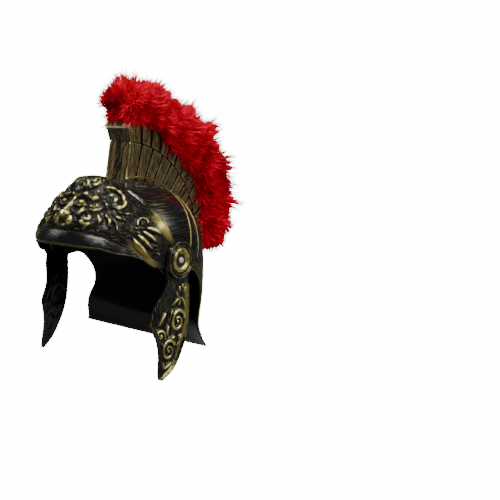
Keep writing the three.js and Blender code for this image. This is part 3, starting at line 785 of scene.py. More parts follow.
def visor_relief(points, side, rise):
    """Heights of the swellings and of the strokes on them, at points of the plain skin."""
    left = points.copy()
    left[:, 0] = np.abs(left[:, 0])
    mound = sum(height * np.exp(-np.hypot(side / SWELLING_HALF_ANGLE, (rise - middle) / half_height) ** 4)
                for middle, half_height, height in SWELLINGS)
    relief = raised_strokes(left, MASK_STROKES + mask_locks() + LEAF_STROKES,
                            lambda path: visor_point(*smooth_path(path, 14).T))
    # The mask is worn unevenly, the leaves hardly
    wear = 0.3 - 0.22 * smoothstep(np.abs(side), 34, 46)
    return mound, relief * (1 - wear * clump(points, 9, 41))


def visor_lip(side, low, rows):
    """The lip under the visor's low edge: its side and rise angles, its top and its underside."""
    step = np.linspace(0, 1, rows + 1)[1:, None]
    spread = np.clip(1 - (side / LIP_HALF_ANGLE) ** 4, 0, None)
    rise = low - spread * VISOR_LOW_ANGLE * 0.4 * step - 1.2 * step
    sides = np.broadcast_to(side, rise.shape)
    round_edge = 1.6 * smoothstep(step, 0.75, 1.0) * spread
    top = visor_point(sides, rise, LIP_REACH * step ** 0.9 * spread)
    under = visor_point(sides, rise - 0.9 - 0.5 * round_edge, LIP_REACH * step * spread + 0.6, WALL)
    return sides, rise, top, under


def visor_gold(share, sides, strokes, height):
    """How far gold is rubbed on and brushed over, with painted highlights among it, for the visor's rows and
    then for the lip's.
    """
    rows = len(strokes)
    # Gold lies on what stands above its surroundings, and more on high strokes
    raised = height - blurred(blurred(height, 7), 7)
    raised[:rows] += 0.15 * np.maximum(strokes - 2, 0)
    # Gold lines on the lip's lower edge and on the crease above it, partly a painted highlight
    edge = np.zeros(height.shape)
    edge[-1:] = 0.6
    edge[rows - 1] = 0.3
    rub = np.maximum(smoothstep(raised, 0.5, 2.9) * np.clip(height, 0, 1), edge)
    # Two brushed gold fields, which are also painted highlights, at the low edge and at the rear edge above
    # the ears
    low_brushed_highlight = band(np.abs(sides), 60, 9) * smoothstep(share, 0.78, 0.9)
    rear_brushed_highlight = band(np.abs(sides), 64, 10) * (1 - smoothstep(share, 0.08, 0.3))
    lip_cover = np.full((len(height) - rows, height.shape[1]), -0.5)
    return rub, np.concatenate([1.25 * np.maximum(low_brushed_highlight, rear_brushed_highlight), lip_cover])


def visor_shell():
    """The brow visor with its relief, rear rim, lip and flat ears on the rivets."""
    columns, rows, lip_rows = 281, 132, 14
    rim_height, rim_row, rim_width = 1.4, 1.6, 1.3
    millimetres_a_degree = 1.71
    side = np.linspace(-VISOR_END_ANGLE, VISOR_END_ANGLE, columns)[None]
    low = low_edge(side)
    share = np.linspace(0, 1, rows)[:, None]
    rise = VISOR_REAR_ANGLE + (low - VISOR_REAR_ANGLE) * share
    sides = np.broadcast_to(side, rise.shape)
    fade = smoothstep(share, 0.0, 0.07) * (1 - smoothstep(share, 0.93, 0.99))
    mound, strokes = visor_relief(visor_point(sides, rise).reshape(-1, 3), sides.ravel(), rise.ravel())
    strokes = strokes.reshape(rise.shape) * fade
    relief = mound.reshape(rise.shape) * fade + strokes
    rim = rim_height * band(share * 60, rim_row, rim_width) + 0 * rise
    lip_sides, lip_rise, lip, under = visor_lip(side, low, lip_rows)
    outer = np.concatenate([visor_point(sides, rise, relief + rim), lip])
    inner = np.concatenate([visor_point(sides, rise, 0.45 * blurred(relief, 3), WALL), under])
    points = np.concatenate([outer, inner]).reshape(-1, 3)
    shell = (points, facing_out(points, shell_faces(rows + lip_rows, columns)))
    near, far = BOSS_FACE + GAP, ear_face(0)
    ear = lathe([(RIVET_HOLE, near), (EAR_RADIUS, near), (EAR_RADIUS, far), (RIVET_HOLE, far)], 64)
    all_points, faces = joined([shell, ear, mirrored(*ear)])
    ears = np.zeros(len(all_points) - len(points))
    rub, cover = visor_gold(share, sides, strokes, np.concatenate([relief + rim, np.zeros(lip_rise.shape)]))
    inside = np.zeros(rub.size)
    values = {"rub": np.r_[rub.ravel(), inside, ears], "cover": np.r_[cover.ravel(), inside - 1, ears]}
    skin_map = np.stack([np.concatenate([sides, lip_sides]).ravel() * millimetres_a_degree,
                         np.concatenate([rise, lip_rise]).ravel() * millimetres_a_degree], -1)
    brush_map = np.concatenate([skin_map, skin_map, all_points[len(points):, 1:]])
    mesh_piece("visor_shell", all_points, faces, "relief_plastic", ("visor",), values, brush_map, "visor", 50)


visor_shell()


# Cheek guards

# Outline: at shares of the length below the rivet, both edges' places in widths ahead of it
GUARD_DOWN = [-0.138, -0.11, -0.04, 0.05, 0.12, 0.2, 0.29, 0.38, 0.46, 0.53, 0.565, 0.61, 0.68, 0.76,
              0.84, 0.91, 0.96, 1.0]
GUARD_FRONT = [0.08, 0.22, 0.32, 0.32, 0.28, 0.25, 0.25, 0.28, 0.325, 0.37, 0.37, 0.29, 0.175, 0.1,
               0.06, 0.045, 0.03, 0.0]
GUARD_BACK = [-0.1, -0.24, -0.34, -0.38, -0.38, -0.43, -0.49, -0.53, -0.555, -0.565, -0.562, -0.555,
              -0.525, -0.47, -0.395, -0.3, -0.185, -0.08]


def guard_face(forward, down):
    """How far out the guard's inner face lies."""
    pad = BOSS_FACE + GAP + WALL + GAP
    sweep = (forward + 0.62 * GUARD_WIDTH) / GUARD_WIDTH
    free = smoothstep(down, GUARD_PAD_LENGTH, 2.5 * GUARD_PAD_LENGTH)
    splay = GUARD_SPLAY * np.clip(down - GUARD_PAD_LENGTH, 0, None)
    return pad - GUARD_SWEEP_IN * sweep ** 2 * free + splay


def spiral(forward, down, size, turns, hand, start=0.0, squeeze=0.74):
    """A path that winds in round a point, narrower than it is high."""
    share = np.linspace(0, 1, int(turns * 16) + 2)
    turn = start + share * turns * 2 * math.pi
    radius = size * (1 - 0.72 * share)
    return np.stack([forward + squeeze * radius * np.cos(turn) * hand, down + radius * np.sin(turn)], -1)


# Raised strokes of the guard, as forward and down in millimetres from the rivet
GUARD_STROKES = [
    ridge(spiral(-14, 70, 14, 1.3, 1, 3.6), 3.4, 3.6, 1, 0.7),
    ridge(spiral(-6, 105, 12.5, 1.3, 1, 3.9), 3.2, 3.4, 1, 0.7),
    ridge(spiral(7, 89, 6.5, 1.1, 1, 2.6, 1.0), 2.4, 2.8),
    ridge([(6, 89), (6.6, 89.4)], 2.6, 3.2),
    leaf([(-12, 26), (-12, 31)], 2.4, 2.6),
    leaf([(-7, 29), (-9, 36)], 2.4, 2.6),
    leaf([(-18, 29), (-16, 36)], 2.4, 2.6),
    ridge([(-5, 37), (-8, 42), (-13, 43)], 2.2, 2.6, 0.6, 1),
    leaf([(-13, 41), (-8, 46), (-3, 53)], 2.6, 2.8),
    leaf([(-14, 42), (-19, 46), (-23, 53)], 2.6, 2.8),
    leaf([(-5, 57), (-4, 66), (-1, 74)], 2.6, 2.8, 0.3),
    leaf([(-2, 76), (-1, 84), (-4, 91)], 2.2, 2.6),
    leaf([(-22, 84), (-21, 93), (-17, 99)], 2.6, 2.8, 0.3),
    leaf([(7, 99), (7, 108), (3, 118)], 2.4, 2.6),
    leaf([(-2, 119), (-2, 125), (0, 130)], 2.2, 2.4),
    leaf([(-13, 117), (-8, 123), (-3, 127)], 2.0, 2.2),
    leaf([(-12, 52), (-12, 46), (-10, 42)], 2.4, 2.8),
    leaf([(-25, 60), (-27, 68), (-25, 76)], 2.2, 2.4),
    leaf([(3, 62), (7, 70), (10, 79)], 2.4, 2.4),
    leaf([(-13, 87), (-10, 90), (-5, 91)], 2.2, 2.6),
    ridge([(-14, 70), (-14.5, 71)], 2.6, 3.0),
    ridge([(-6, 105), (-6.4, 106)], 2.6, 3.0),
]


def dulled_gold(front, back, forward, end, inside):
    """Where the gold of the guard's rim is worn off, from 0 to 1."""
    rear = smoothstep((front - forward) / (front - back), 0.4, 0.6)
    low_rear = smoothstep(end, 80, 92) * (1 - smoothstep(end, 112, 126))
    high_front = 1 - smoothstep(end, 68, 80)
    return (rear * low_rear + (1 - rear) * high_front) * (1 - smoothstep(inside, 5, 7))


def cheek_guard(name, hand):
    """A guard with its rim, inner line and scrolls, hanging at its rest angle."""
    columns, rows = 91, 200
    down = np.linspace(GUARD_DOWN[0], GUARD_DOWN[-1], rows)[:, None] * GUARD_LENGTH
    front = GUARD_WIDTH * hermite(GUARD_DOWN, GUARD_FRONT, down / GUARD_LENGTH)
    back = GUARD_WIDTH * hermite(GUARD_DOWN, GUARD_BACK, down / GUARD_LENGTH)
    forward = front + (back - front) * np.linspace(0, 1, columns)[None]
    end = np.broadcast_to(down, forward.shape)
    flat = np.stack([forward, end], -1).reshape(-1, 2)
    inside = np.minimum(np.minimum(front - forward, forward - back), GUARD_LENGTH - end)
    free = smoothstep(end, ROSETTE_RADIUS - 1, ROSETTE_RADIUS + 6)
    rim = 1.8 * band(inside, 1.8, 1.9) * free
    line = 0.9 * band(inside, 5.2, 0.9) * free
    relief = raised_strokes(flat, GUARD_STROKES, lambda path: np.asarray(path, float)).reshape(forward.shape)
    relief = np.maximum(relief * smoothstep(inside, 1.5, 5), np.maximum(rim, line))
    face = guard_face(forward, end)
    outer = np.stack([face + WALL + relief, -forward, -end], -1)
    inner = np.stack([face + 0.4 * blurred(relief, 3), -forward, -end], -1)
    points = np.concatenate([outer, inner]).reshape(-1, 3)
    faces = facing_out(points, shell_faces(rows, columns))
    if hand < 0:
        points, faces = mirrored(points, faces)
    swing = math.radians(-GUARD_REST_SWING)
    cosine, sine = math.cos(swing), math.sin(swing)
    points = points @ np.array([[1, 0, 0], [0, cosine, -sine], [0, sine, cosine]]).T
    dull = dulled_gold(front, back, forward, end, inside)
    raised = relief - blurred(blurred(relief, 4), 4)
    rub = smoothstep(raised, 0.0, 1.3) * np.clip(relief + 0.2, 0, 1) * (1 - 0.75 * dull)
    cover = 0.05 + 0.7 * (band(forward - back, 5, 3) * free) * (1 - dull)
    hidden = np.zeros(rub.size)
    values = {"rub": np.r_[rub.ravel(), hidden], "cover": np.r_[cover.ravel(), hidden - 1]}
    body = "cheek_guard_" + name
    brush_map = np.tile(flat[:, ::-1], (2, 1))
    mesh_piece(body + "_shell", points, faces, "relief_plastic", (body,), values, brush_map, body, 50)


cheek_guard("left", 1)
cheek_guard("right", -1)


# Rosettes

# Radius and height of the rings, as shares, from the rim's back to the hole
ROSETTE_PROFILE = [
    (0.103, 0.0), (1.0, 0.0), (1.0, 0.45), (0.985, 0.68), (0.95, 0.8), (0.9, 0.84), (0.86, 0.72),
    (0.835, 0.6), (0.81, 0.66), (0.79, 0.86), (0.76, 0.93), (0.73, 0.86), (0.705, 0.6), (0.68, 0.48),
    (0.655, 0.52), (0.63, 0.8), (0.59, 0.98), (0.54, 1.0), (0.49, 0.93), (0.45, 0.75), (0.4, 0.52),
    (0.33, 0.44), (0.27, 0.47), (0.2, 0.5), (0.103, 0.48),
]
# Gold rubbed along the profile
ROSETTE_GOLD_ALONG = [0, 0.15, 0.2, 0.24, 0.3, 0.4, 0.44, 0.48, 0.54, 0.6, 0.84, 0.9, 1.0]
ROSETTE_GOLD = [0, 0.1, 0.75, 0.1, 0.1, 0.2, 0.8, 0.2, 0.1, 1.0, 0.9, 0.15, 0.3]


def rosette(name, hand):
    """The ringed disc over a rivet."""
    sides, strokes_round = 96, 12
    seat = BOSS_FACE + 3 * GAP + 2 * WALL
    along = np.linspace(0, 1, 97)
    keys = np.linspace(0, 1, len(ROSETTE_PROFILE))
    radius, height = (np.interp(along, keys, values) for values in zip(*ROSETTE_PROFILE))
    points, faces = lathe(np.stack([ROSETTE_RADIUS * radius, seat + ROSETTE_HEIGHT * height], -1), sides)
    gold = np.interp(along, ROSETTE_GOLD_ALONG, ROSETTE_GOLD)
    rub = np.repeat(gold, sides) * (0.55 + 0.45 * clump(points, 7, 91))
    turn, reach = np.arctan2(points[:, 1], points[:, 2]), np.hypot(points[:, 1], points[:, 2])
    brush_map = np.stack([turn * strokes_round, reach], -1)
    if hand < 0:
        points, faces = mirrored(points, faces)
    mesh_piece("rosette_" + name + "_rings", points, faces, "relief_plastic", ("rosette_" + name,),
               {"rub": rub, "cover": 0.3 * rub - 0.1}, brush_map, sharp_angle=60)


rosette("left", 1)
rosette("right", -1)


# Crest box

# Angles in degrees at a curve's front and back, and whether the lower and the upper tier lie under it
CREST_CURVES = {"base": (104, -18, 0, 0), "tier": (96, -7, 1, 0), "top": (96, -3, 1, 1)}


def dome_reach(angle):
    """How far the dome's top line, or its back below the rivets, lies from the crest's middle."""
    radians = np.radians(angle)
    up = np.sin(radians) / DOME_HEIGHT
    back = np.cos(radians) / DOME_BACK
    offset = (CREST_CENTRE_Y - DOME_CENTRE_Y) / DOME_BACK
    a = up ** 2 + back ** 2
    b = 2 * offset * back
    upper = (-b + np.sqrt(b * b - 4 * a * (offset ** 2 - 1))) / (2 * a)
    lower = (DOME_CENTRE_Y + DOME_BACK - CREST_CENTRE_Y) / np.cos(radians)
    return np.where(angle < 0, lower, upper)


def crest_point(curve, share, lift=0.0):
    """A [y, z] point of the crest at a share from front to back."""
    front, back, lower_part, upper_part = CREST_CURVES[curve]
    share = np.asarray(share, float)
    angle = front + (back - front) * share
    lower = CREST_LOWER[0] + (CREST_LOWER[1] - CREST_LOWER[0]) * np.minimum(1, share / 0.8)
    upper = CREST_UPPER[0] + (CREST_UPPER[1] - CREST_UPPER[0]) * share
    reach = dome_reach(angle) + lower_part * lower + upper_part * upper + lift
    radians = np.radians(angle)
    return np.stack([CREST_CENTRE_Y + reach * np.cos(radians), reach * np.sin(radians)], -1)


def across_crest(x, spots):
    """Points at x from [y, z] spots of the crest's middle plane."""
    return np.stack([0 * spots[:, 0] + x, spots[:, 0], spots[:, 1]], -1)


# Each tier: curves below and above, blocks, half width, lifts over both curves and share of a groove
CREST_TIERS = [
    ("base", "tier", CREST_LOWER_BLOCKS, CREST_LOWER_HALF_WIDTH, -1.0, 0.6, 0.015),
    ("tier", "top", CREST_UPPER_BLOCKS, CREST_UPPER_HALF_WIDTH, 0.6, 0.0, 0.02),
]
# Each layer of a block: share of the half width, how far it is drawn in and its gold
BLOCK_LAYERS = [(0.0, 0.0, 0.0), (0.88, 0.0, -0.2), (0.95, 0.01, 0.1), (1.0, 0.05, 0.95),
                (1.005, 0.1, 0.2), (1.0, 0.3, 0.15)]
# The front blocks also show their faces, with a dark streak and a bright edge
FRONT_LAYERS = [(0.3, 0.0, 0.1), (0.35, 0.04, -0.3), (0.4, 0.0, 0.3), (0.88, 0.0, 0.1), (0.94, 0.0, 0.7)]
# Extra gold on the ridge's edge, a painted highlight
RIDGE_HIGHLIGHT_GOLD = 1.3
# Reach of the ridge over the front face, at shares of the block's height
RIDGE_REACH = ((0, 0.5), (0.57, 3.6), (0.62, CREST_RIDGE), (0.67, 3.6))
RIDGE_TOP_SETBACK = 1.5


def block_outline(low, high, start, end, start_lift, end_lift, ridged):
    """The block's side outline, the front block of the upper tier with a ridge at its face."""
    a, b = crest_point(low, start, start_lift), crest_point(high, start, end_lift)
    d, c = crest_point(low, end, start_lift), crest_point(high, end, end_lift)
    if not ridged:
        return [a, b, c, d]
    forward = (a - d) / np.linalg.norm(a - d)
    front = [a + share * (b - a) + reach * forward for share, reach in RIDGE_REACH]
    return front + [b - RIDGE_TOP_SETBACK * forward, c, d]


def add_crest_block(made, rub, cover, outline, half_width, layers, ridged):
    """One block as rings of its outline, laid from the middle out to both sides."""
    middle = sum(outline) / len(outline)
    stack = []
    for side_share, inset, gold in layers:
        ring = []
        for p in outline:
            q = p + (middle - p) * inset
            vert = made.verts.new((half_width * side_share, q[0], q[1]))
            vert[rub] = gold
            vert[cover] = min(gold, 0.2)
            ring.append(vert)
        # The ridge's edge gets the painted highlight gold
        if ridged:
            ring[2][rub] = RIDGE_HIGHLIGHT_GOLD
        stack.append(ring)
    for ring in stack[1:]:
        far_ring = []
        for vert in ring:
            twin = made.verts.new((-vert.co.x, vert.co.y, vert.co.z))
            twin[rub] = vert[rub]
            twin[cover] = vert[cover]
            far_ring.append(twin)
        stack.insert(0, far_ring)
    count = len(outline)
    for lower, upper in zip(stack, stack[1:]):
        for k in range(count):
            made.faces.new((lower[k], lower[(k + 1) % count], upper[(k + 1) % count], upper[k]))
    made.faces.new(stack[0][::-1])
    made.faces.new(stack[-1])


def crest_blocks():
    """The blocks of both tiers, each with rounded edges."""
    made = bmesh.new()
    rub = made.verts.layers.float.new("rub")
    cover = made.verts.layers.float.new("cover")
    for low, high, blocks, half_width, start_lift, end_lift, groove in CREST_TIERS:
        for block in range(blocks):
            start = block / blocks + (0 if block == 0 else groove / 2)
            end = (block + 1) / blocks - (0 if block == blocks - 1 else groove / 2)
            ridged = block == 0 and high == "top"
            outline = block_outline(low, high, start, end, start_lift, end_lift, ridged)
            layers = BLOCK_LAYERS[:1] + FRONT_LAYERS + BLOCK_LAYERS[2:] if block == 0 else BLOCK_LAYERS
            add_crest_block(made, rub, cover, outline, half_width, layers, ridged)
    bmesh.ops.recalc_face_normals(made, faces=made.faces)
    mesh = bpy.data.meshes.new("crest_blocks")
    made.to_mesh(mesh)
    made.free()
    spots = read_points(mesh)
    mean_reach = 110
    angle = np.arctan2(spots[:, 2], spots[:, 1] - CREST_CENTRE_Y)
    reach = np.hypot(spots[:, 1] - CREST_CENTRE_Y, spots[:, 2])
    set_brush_map(mesh, np.stack([reach, angle * mean_reach + spots[:, 0]], -1))
    mesh.vertices.foreach_set("co", (spots * MM + RIVET_AXIS).ravel())
    set_finish(mesh, FINISHES["crest_plastic"], 30)
    finish_piece(linked("crest_blocks", mesh), "shell", ("crest_box",))


def crest_core():
    """The dark walls behind the grooves between the blocks."""
    share = np.linspace(0.012, 0.988, 50)
    depth = 1.8
    tiers = (("base", "tier", CREST_LOWER_HALF_WIDTH, -1.0, 0.8),
             ("tier", "top", CREST_UPPER_HALF_WIDTH, -1.5, -1.2))
    bars = []
    for low, high, half_width, low_lift, high_lift in tiers:
        bottom, top = crest_point(low, share, low_lift), crest_point(high, share, high_lift)
        wide = half_width - depth
        corners = [(wide, bottom), (wide, top), (-wide, top), (-wide, bottom)]
        points = np.stack([across_crest(x, spots) for x, spots in corners], 1).reshape(-1, 3)
        bars.append((points, facing_out(points, capped_faces(len(share), 4))))
    points, faces = joined(bars)
    dark = np.zeros(len(points))
    mesh_piece("crest_core", points, faces, "crest_plastic", ("crest_box",), {"rub": dark, "cover": dark - 1},
               points[:, 1:], smooth=False)


crest_blocks()
crest_core()


# Plume

# Body: at shares along the crest, its height and its width as shares. Tail: its path in the same way.
PLUME_ALONG = [-0.03, 0.02, 0.1, 0.2, 0.32, 0.44, 0.56, 0.67, 0.78, 0.87, 0.94, 0.99]
PLUME_TALL = [0.55, 0.92, 1.1, 1.14, 1.1, 1.12, 1.16, 1.16, 0.95, 0.78, 0.6, 0.35]
PLUME_WIDE = [0.55, 0.85, 1.0, 1.05, 1.0, 1.0, 1.05, 1.0, 0.95, 0.9, 0.75, 0.45]
TAIL_ALONG = [0.62, 0.7, 0.79, 0.87, 0.945, 0.985, 0.97]
TAIL_OUT = [0.62, 0.84, 0.98, 1.0, 0.88, 0.58, 0.27]
CORE_TALL = 0.86
CORE_WIDE = 0.72
TAIL_RADIUS = 8.5
BARB_LENGTH = 17.0
TUFTS_PER_PATCH = 4300


def plume_ring(along, turn, tall, wide):
    """A point of the plume's skin: turn 0 at the crest, half a turn at the top."""
    middle = 0.5 * PLUME_HEIGHT * hermite(PLUME_ALONG, PLUME_TALL, along) * tall
    spot = crest_point("top", along, GAP + middle * (1 - np.cos(turn)))
    side = PLUME_HALF_WIDTH * wide * hermite(PLUME_ALONG, PLUME_WIDE, along) * np.sin(turn)
    return np.stack([side, spot[..., 0], spot[..., 1]], -1)


def tail_path(count):
    """The middle line of the curling tail end."""
    along = hermite(np.arange(7), TAIL_ALONG, np.linspace(0, 6, count))
    out = TAIL_REACH * hermite(np.arange(7), TAIL_OUT, np.linspace(0, 6, count))
    spot = crest_point("top", along, out)
    return np.stack([np.zeros(count), spot[:, 0], spot[:, 1]], -1)


def down_roots(along, turn):
    """The skin inside the core from which the loose down grows."""
    return plume_ring(along, turn, CORE_TALL * 0.94, CORE_WIDE * 0.92)


def tail_taper(share):
    """The tail's thickness along its path, as a share of its radius."""
    return 0.35 + 0.65 * np.sin(math.pi * share) ** 0.4


def clumps_on(grid, size, seed):
    """A soft lumpy value for each point of a grid."""
    return clump(grid.reshape(-1, 3), size, seed).reshape(grid.shape[:-1])


def plume_core():
    """The mass of down under the loose tips, dark as painted shade, with the curling tail end."""
    rows, columns, tail_rows = 90, 48, 60
    along = np.linspace(0, PLUME_ALONG[-1], rows)[:, None]
    grid = plume_ring(*np.broadcast_arrays(along, full_turn(columns)[None]), CORE_TALL, CORE_WIDE)
    points = grid.reshape(-1, 3)
    body = (points, facing_out(points, capped_faces(rows, columns)))
    tail_radius = TAIL_RADIUS * tail_taper(np.linspace(0, 1, tail_rows))
    points, faces = joined([body, tube(tail_path(tail_rows), tail_radius, 20, (1, 0, 0))])
    # Tip 0 gives it the roots' painted shade
    mesh_piece("plume_core", points, faces, "plume_feather", ("plume",),
               {"tip": np.zeros(len(points)), "tone": 0.5 * clump(points, 30, 5)})


def tuft_mesh():
    """A few thin curved barbs that spread from one root along Z, one unit long."""
    random = np.random.default_rng(11)
    barbs = 7
    points, faces, tips = [], [], []
    for barb in range(barbs):
        lean = random.uniform(0.05, 0.42)
        turn = barb * 2 * math.pi / barbs + random.uniform(-0.4, 0.4)
        outward = np.array([math.cos(turn), math.sin(turn), 0])
        across = np.array([-math.sin(turn), math.cos(turn), 0])
        length = random.uniform(0.65, 1.0)
        start = len(points)
        for share, width in ((0.0, 0.024), (0.45, 0.022), (0.78, 0.013)):
            centre = outward * lean * share ** 1.7 + np.array([0, 0, length * share])
            points += [centre - across * width, centre + across * width]
            tips += [share, share]
        points.append(outward * lean * 1.15 + np.array([0, 0, length]))
        tips.append(1.0)
        faces += [(start, start + 1, start + 3, start + 2), (start + 2, start + 3, start + 5, start + 4),
                  (start + 4, start + 5, start + 6)]
    mesh = bpy.data.meshes.new("tuft")
    mesh.from_pydata(np.array(points).tolist(), [], faces)
    set_values(mesh, {"tip": tips})
    return linked("tuft", mesh)


def tuft_tree(tuft):
    """Scatters tufts over a patch, each along the patch's flow and as long as its reach."""
    stray = 0.28
    tree = bpy.data.node_groups.new("Scatter tufts of down", "GeometryNodeTree")
    add_sockets(tree, "INPUT", {"Patch": "Geometry", "Tufts for each square metre": "Float",
                                "Barb length": "Float", "Seed": "Int", "Finish": "Material"})
    add_sockets(tree, "OUTPUT", {"Down": "Geometry"})
    given = node(tree, "NodeGroupInput").outputs
    scatter = node(tree, "GeometryNodeDistributePointsOnFaces", {
        "Mesh": given["Patch"], "Density": given["Tufts for each square metre"], "Seed": given["Seed"]})
    flow = node(tree, "GeometryNodeInputNamedAttribute", {"Name": "flow"}, data_type="FLOAT_VECTOR")
    reach = node(tree, "GeometryNodeInputNamedAttribute", {"Name": "reach"}, data_type="FLOAT")
    bend = node(tree, "FunctionNodeRandomValue", {
        "Min": (-stray,) * 3, "Max": (stray,) * 3, "Seed": given["Seed"]}, data_type="FLOAT_VECTOR")
    lean = node(tree, "ShaderNodeVectorMath", {0: flow.outputs["Attribute"], 1: bend.outputs[0]},
                operation="ADD")
    aim = node(tree, "FunctionNodeAlignRotationToVector", {"Vector": lean.outputs[0]}, axis="Z")
    # Inputs 2 and 3 are the ends of a random number, output 1 the number
    uneven = node(tree, "FunctionNodeRandomValue", {2: 0.7, 3: 1.15, "Seed": given["Seed"]},
                  data_type="FLOAT")
    sized = maths(tree, "MULTIPLY", reach.outputs["Attribute"], uneven.outputs[1])
    length = maths(tree, "MULTIPLY", sized, given["Barb length"])
    shape = node(tree, "GeometryNodeObjectInfo", {"Object": tuft})
    place = node(tree, "GeometryNodeInstanceOnPoints", {
        "Points": scatter.outputs["Points"], "Instance": shape.outputs["Geometry"],
        "Rotation": aim.outputs["Rotation"], "Scale": length})
    turn = node(tree, "FunctionNodeRandomValue", {"Min": (0, 0, 0), "Max": (0, 0, 2 * math.pi)},
                data_type="FLOAT_VECTOR")
    spin = node(tree, "GeometryNodeRotateInstances", {
        "Instances": place.outputs["Instances"], "Rotation": turn.outputs[0]})
    real = node(tree, "GeometryNodeRealizeInstances", {"Geometry": spin.outputs["Instances"]})
    finish = node(tree, "GeometryNodeSetMaterial", {
        "Geometry": real.outputs["Geometry"], "Material": given["Finish"]})
    node(tree, "NodeGroupOutput", {"Down": finish.outputs["Geometry"]})
    return tree


def down_patch(name, grids, tree, seed):
    """Loose down over a few grids of points, each with its directions and its lengths."""
    faces, start = [], 0
    for spots, _, _ in grids:
        rows, columns = spots.shape[:2]
        faces += grid_faces(rows, columns, False, start)
        start += rows * columns
    points, flow = (np.concatenate([grid[k].reshape(-1, 3) for grid in grids]) for k in (0, 1))
    reach = np.concatenate([lengths.ravel() for _, _, lengths in grids])
    mesh = new_mesh(name, points, faces)
    set_values(mesh, {"flow": flow}, "FLOAT_VECTOR", "vector")
    set_values(mesh, {"reach": reach, "tone": clump(points, 26, 3) * clump(points, 11, 9) ** 0.4})
    area = sum(polygon.area for polygon in mesh.polygons)
    patch = linked(name, mesh)
    scatter = patch.modifiers.new("down", "NODES")
    scatter.node_group = tree
    values = {"Tufts for each square metre": TUFTS_PER_PATCH / area, "Barb length": BARB_LENGTH * MM,
              "Seed": seed, "Finish": FINISHES["plume_feather"]}
    for item in tree.interface.items_tree:
        if item.item_type == "SOCKET" and item.in_out == "INPUT" and item.name in values:
            scatter[item.identifier] = values[item.name]
    apply_modifiers(patch)
    finish_piece(patch, "shell", ("plume",))


def body_grid(start, end, rows):
    """The open skin of the plume's body between two shares of its length."""
    columns = 40
    along = np.linspace(start, end, rows)[:, None]
    turn = np.linspace(0.1, 1.9, columns)[None] * math.pi
    along, turn = np.broadcast_arrays(along, turn)
    roots = down_roots(along, turn)
    outer = plume_ring(along, turn, 1.0, 1.0)
    middle = plume_ring(along, turn * 0 + math.pi, 0.42, 1.0)
    backward = unit(np.gradient(outer, axis=0))
    # The down leans ahead at the front end and sways in clumps further back
    end_bend = -0.7 * smoothstep(-along, -0.06, 0.03) + 0.25
    sway = 1.5 * (clumps_on(roots, 24, 51) - 0.5)
    flow = unit(outer - middle) + (end_bend + sway)[..., None] * backward
    flow[..., 0] += 1.0 * (clumps_on(roots, 22, 81) - 0.5)
    under = 1 - smoothstep(np.sin(turn / 2), 0.2, 0.6)
    flow[..., 0] += 0.8 * under * np.sign(np.sin(turn))
    # Longer wisps here and there, and along the crown of the back half
    lumps = clumps_on(roots, 22, 21)
    wisps = smoothstep(clumps_on(roots, 12, 61), 0.7, 0.95)
    back_half = smoothstep(along, 0.25, 0.5) * (1 - smoothstep(along, 0.86, 0.97))
    crown = back_half * smoothstep(np.sin(turn / 2), 0.6, 0.95)
    return roots, flow, (0.5 + 0.75 * lumps + 0.8 * wisps ** 2) * (1 + 0.6 * crown)


def front_end_grid():
    """The round front end of the plume's body."""
    rows, columns = 10, 40
    share = np.linspace(1, 0.08, rows)[:, None]
    turn = np.linspace(0, 2, columns)[None] * math.pi
    share, turn = np.broadcast_arrays(share, turn)
    front = np.zeros(turn.shape)
    middle = plume_ring(front, front + math.pi, 0.46, 1.0)
    rim = down_roots(front, turn)
    spots = middle + (rim - middle) * share[..., None]
    ahead = unit(down_roots(front - 0.02, turn) - rim)
    flow = unit(rim - middle) * share[..., None] + 0.4 * ahead + np.array([0, 0, 0.6])
    upper = smoothstep(np.sin(turn / 2), 0.5, 1.0)
    return spots, flow, (0.35 + 0.75 * clumps_on(spots, 18, 71)) * (0.5 + 0.8 * upper)


def tail_grid():
    """The skin of the curling tail end."""
    rows, columns = 50, 16
    path = tail_path(rows)
    along = unit(np.gradient(path, axis=0))
    side = np.array([1.0, 0, 0])
    top = np.cross(along, side)
    turn = np.linspace(0, 2 * math.pi, columns)
    ways = np.cos(turn)[None, :, None] * side + np.sin(turn)[None, :, None] * top[:, None]
    radius = TAIL_RADIUS * 0.8 * tail_taper(np.linspace(0, 1, rows))
    spots = path[:, None] + radius[:, None, None] * ways
    flow = ways + 0.5 * along[:, None] + np.array([0, 0.15, -0.1])
    return spots, flow, 0.55 + 0.6 * clumps_on(spots, 20, 31)


def plume():
    plume_core()
    tuft = tuft_mesh()
    tree = tuft_tree(tuft)
    down_patch("plume_down_front", [body_grid(0.0, 0.34, 40), front_end_grid()], tree, 1)
    down_patch("plume_down_middle", [body_grid(0.34, 0.68, 36)], tree, 2)
    down_patch("plume_down_back", [body_grid(0.68, 0.99, 36), tail_grid()], tree, 3)
    bpy.data.objects.remove(tuft)


plume()


# Raised lines on the skull, the one nearest the face's edge a painted highlight, and the moulding of the
# crest and its front edges, bright as painted highlights

# Lines on the dome's side as [y, z], insets of those along the face's edge (the first, nearest the edge, a
# gold line painted as the rolled edge's highlight), and level and radius at the hem
DOME_LINES = [[(57, 74), (50.5, 58), (41, 36), (24.5, -3)], [(67, 71), (63.5, 55), (58, 34), (46.5, -5)]]
FACE_EDGE = FACE_OUTLINE[9:25]
FACE_LINE_INSETS = (0.8, 5, 9)
HEM_LINES = ((1.8, 0.8), (1.74, 0.6))
HEM_LINE_HALF_TURN = 63
LINE_RADIUS = 0.8
LINE_LIFT = 0.1
LINE_GOLD = 0.5
MOULDING_RADIUS = 1.0
RIDGE_RADIUS = 1.4
CORNER_RADIUS = 0.9


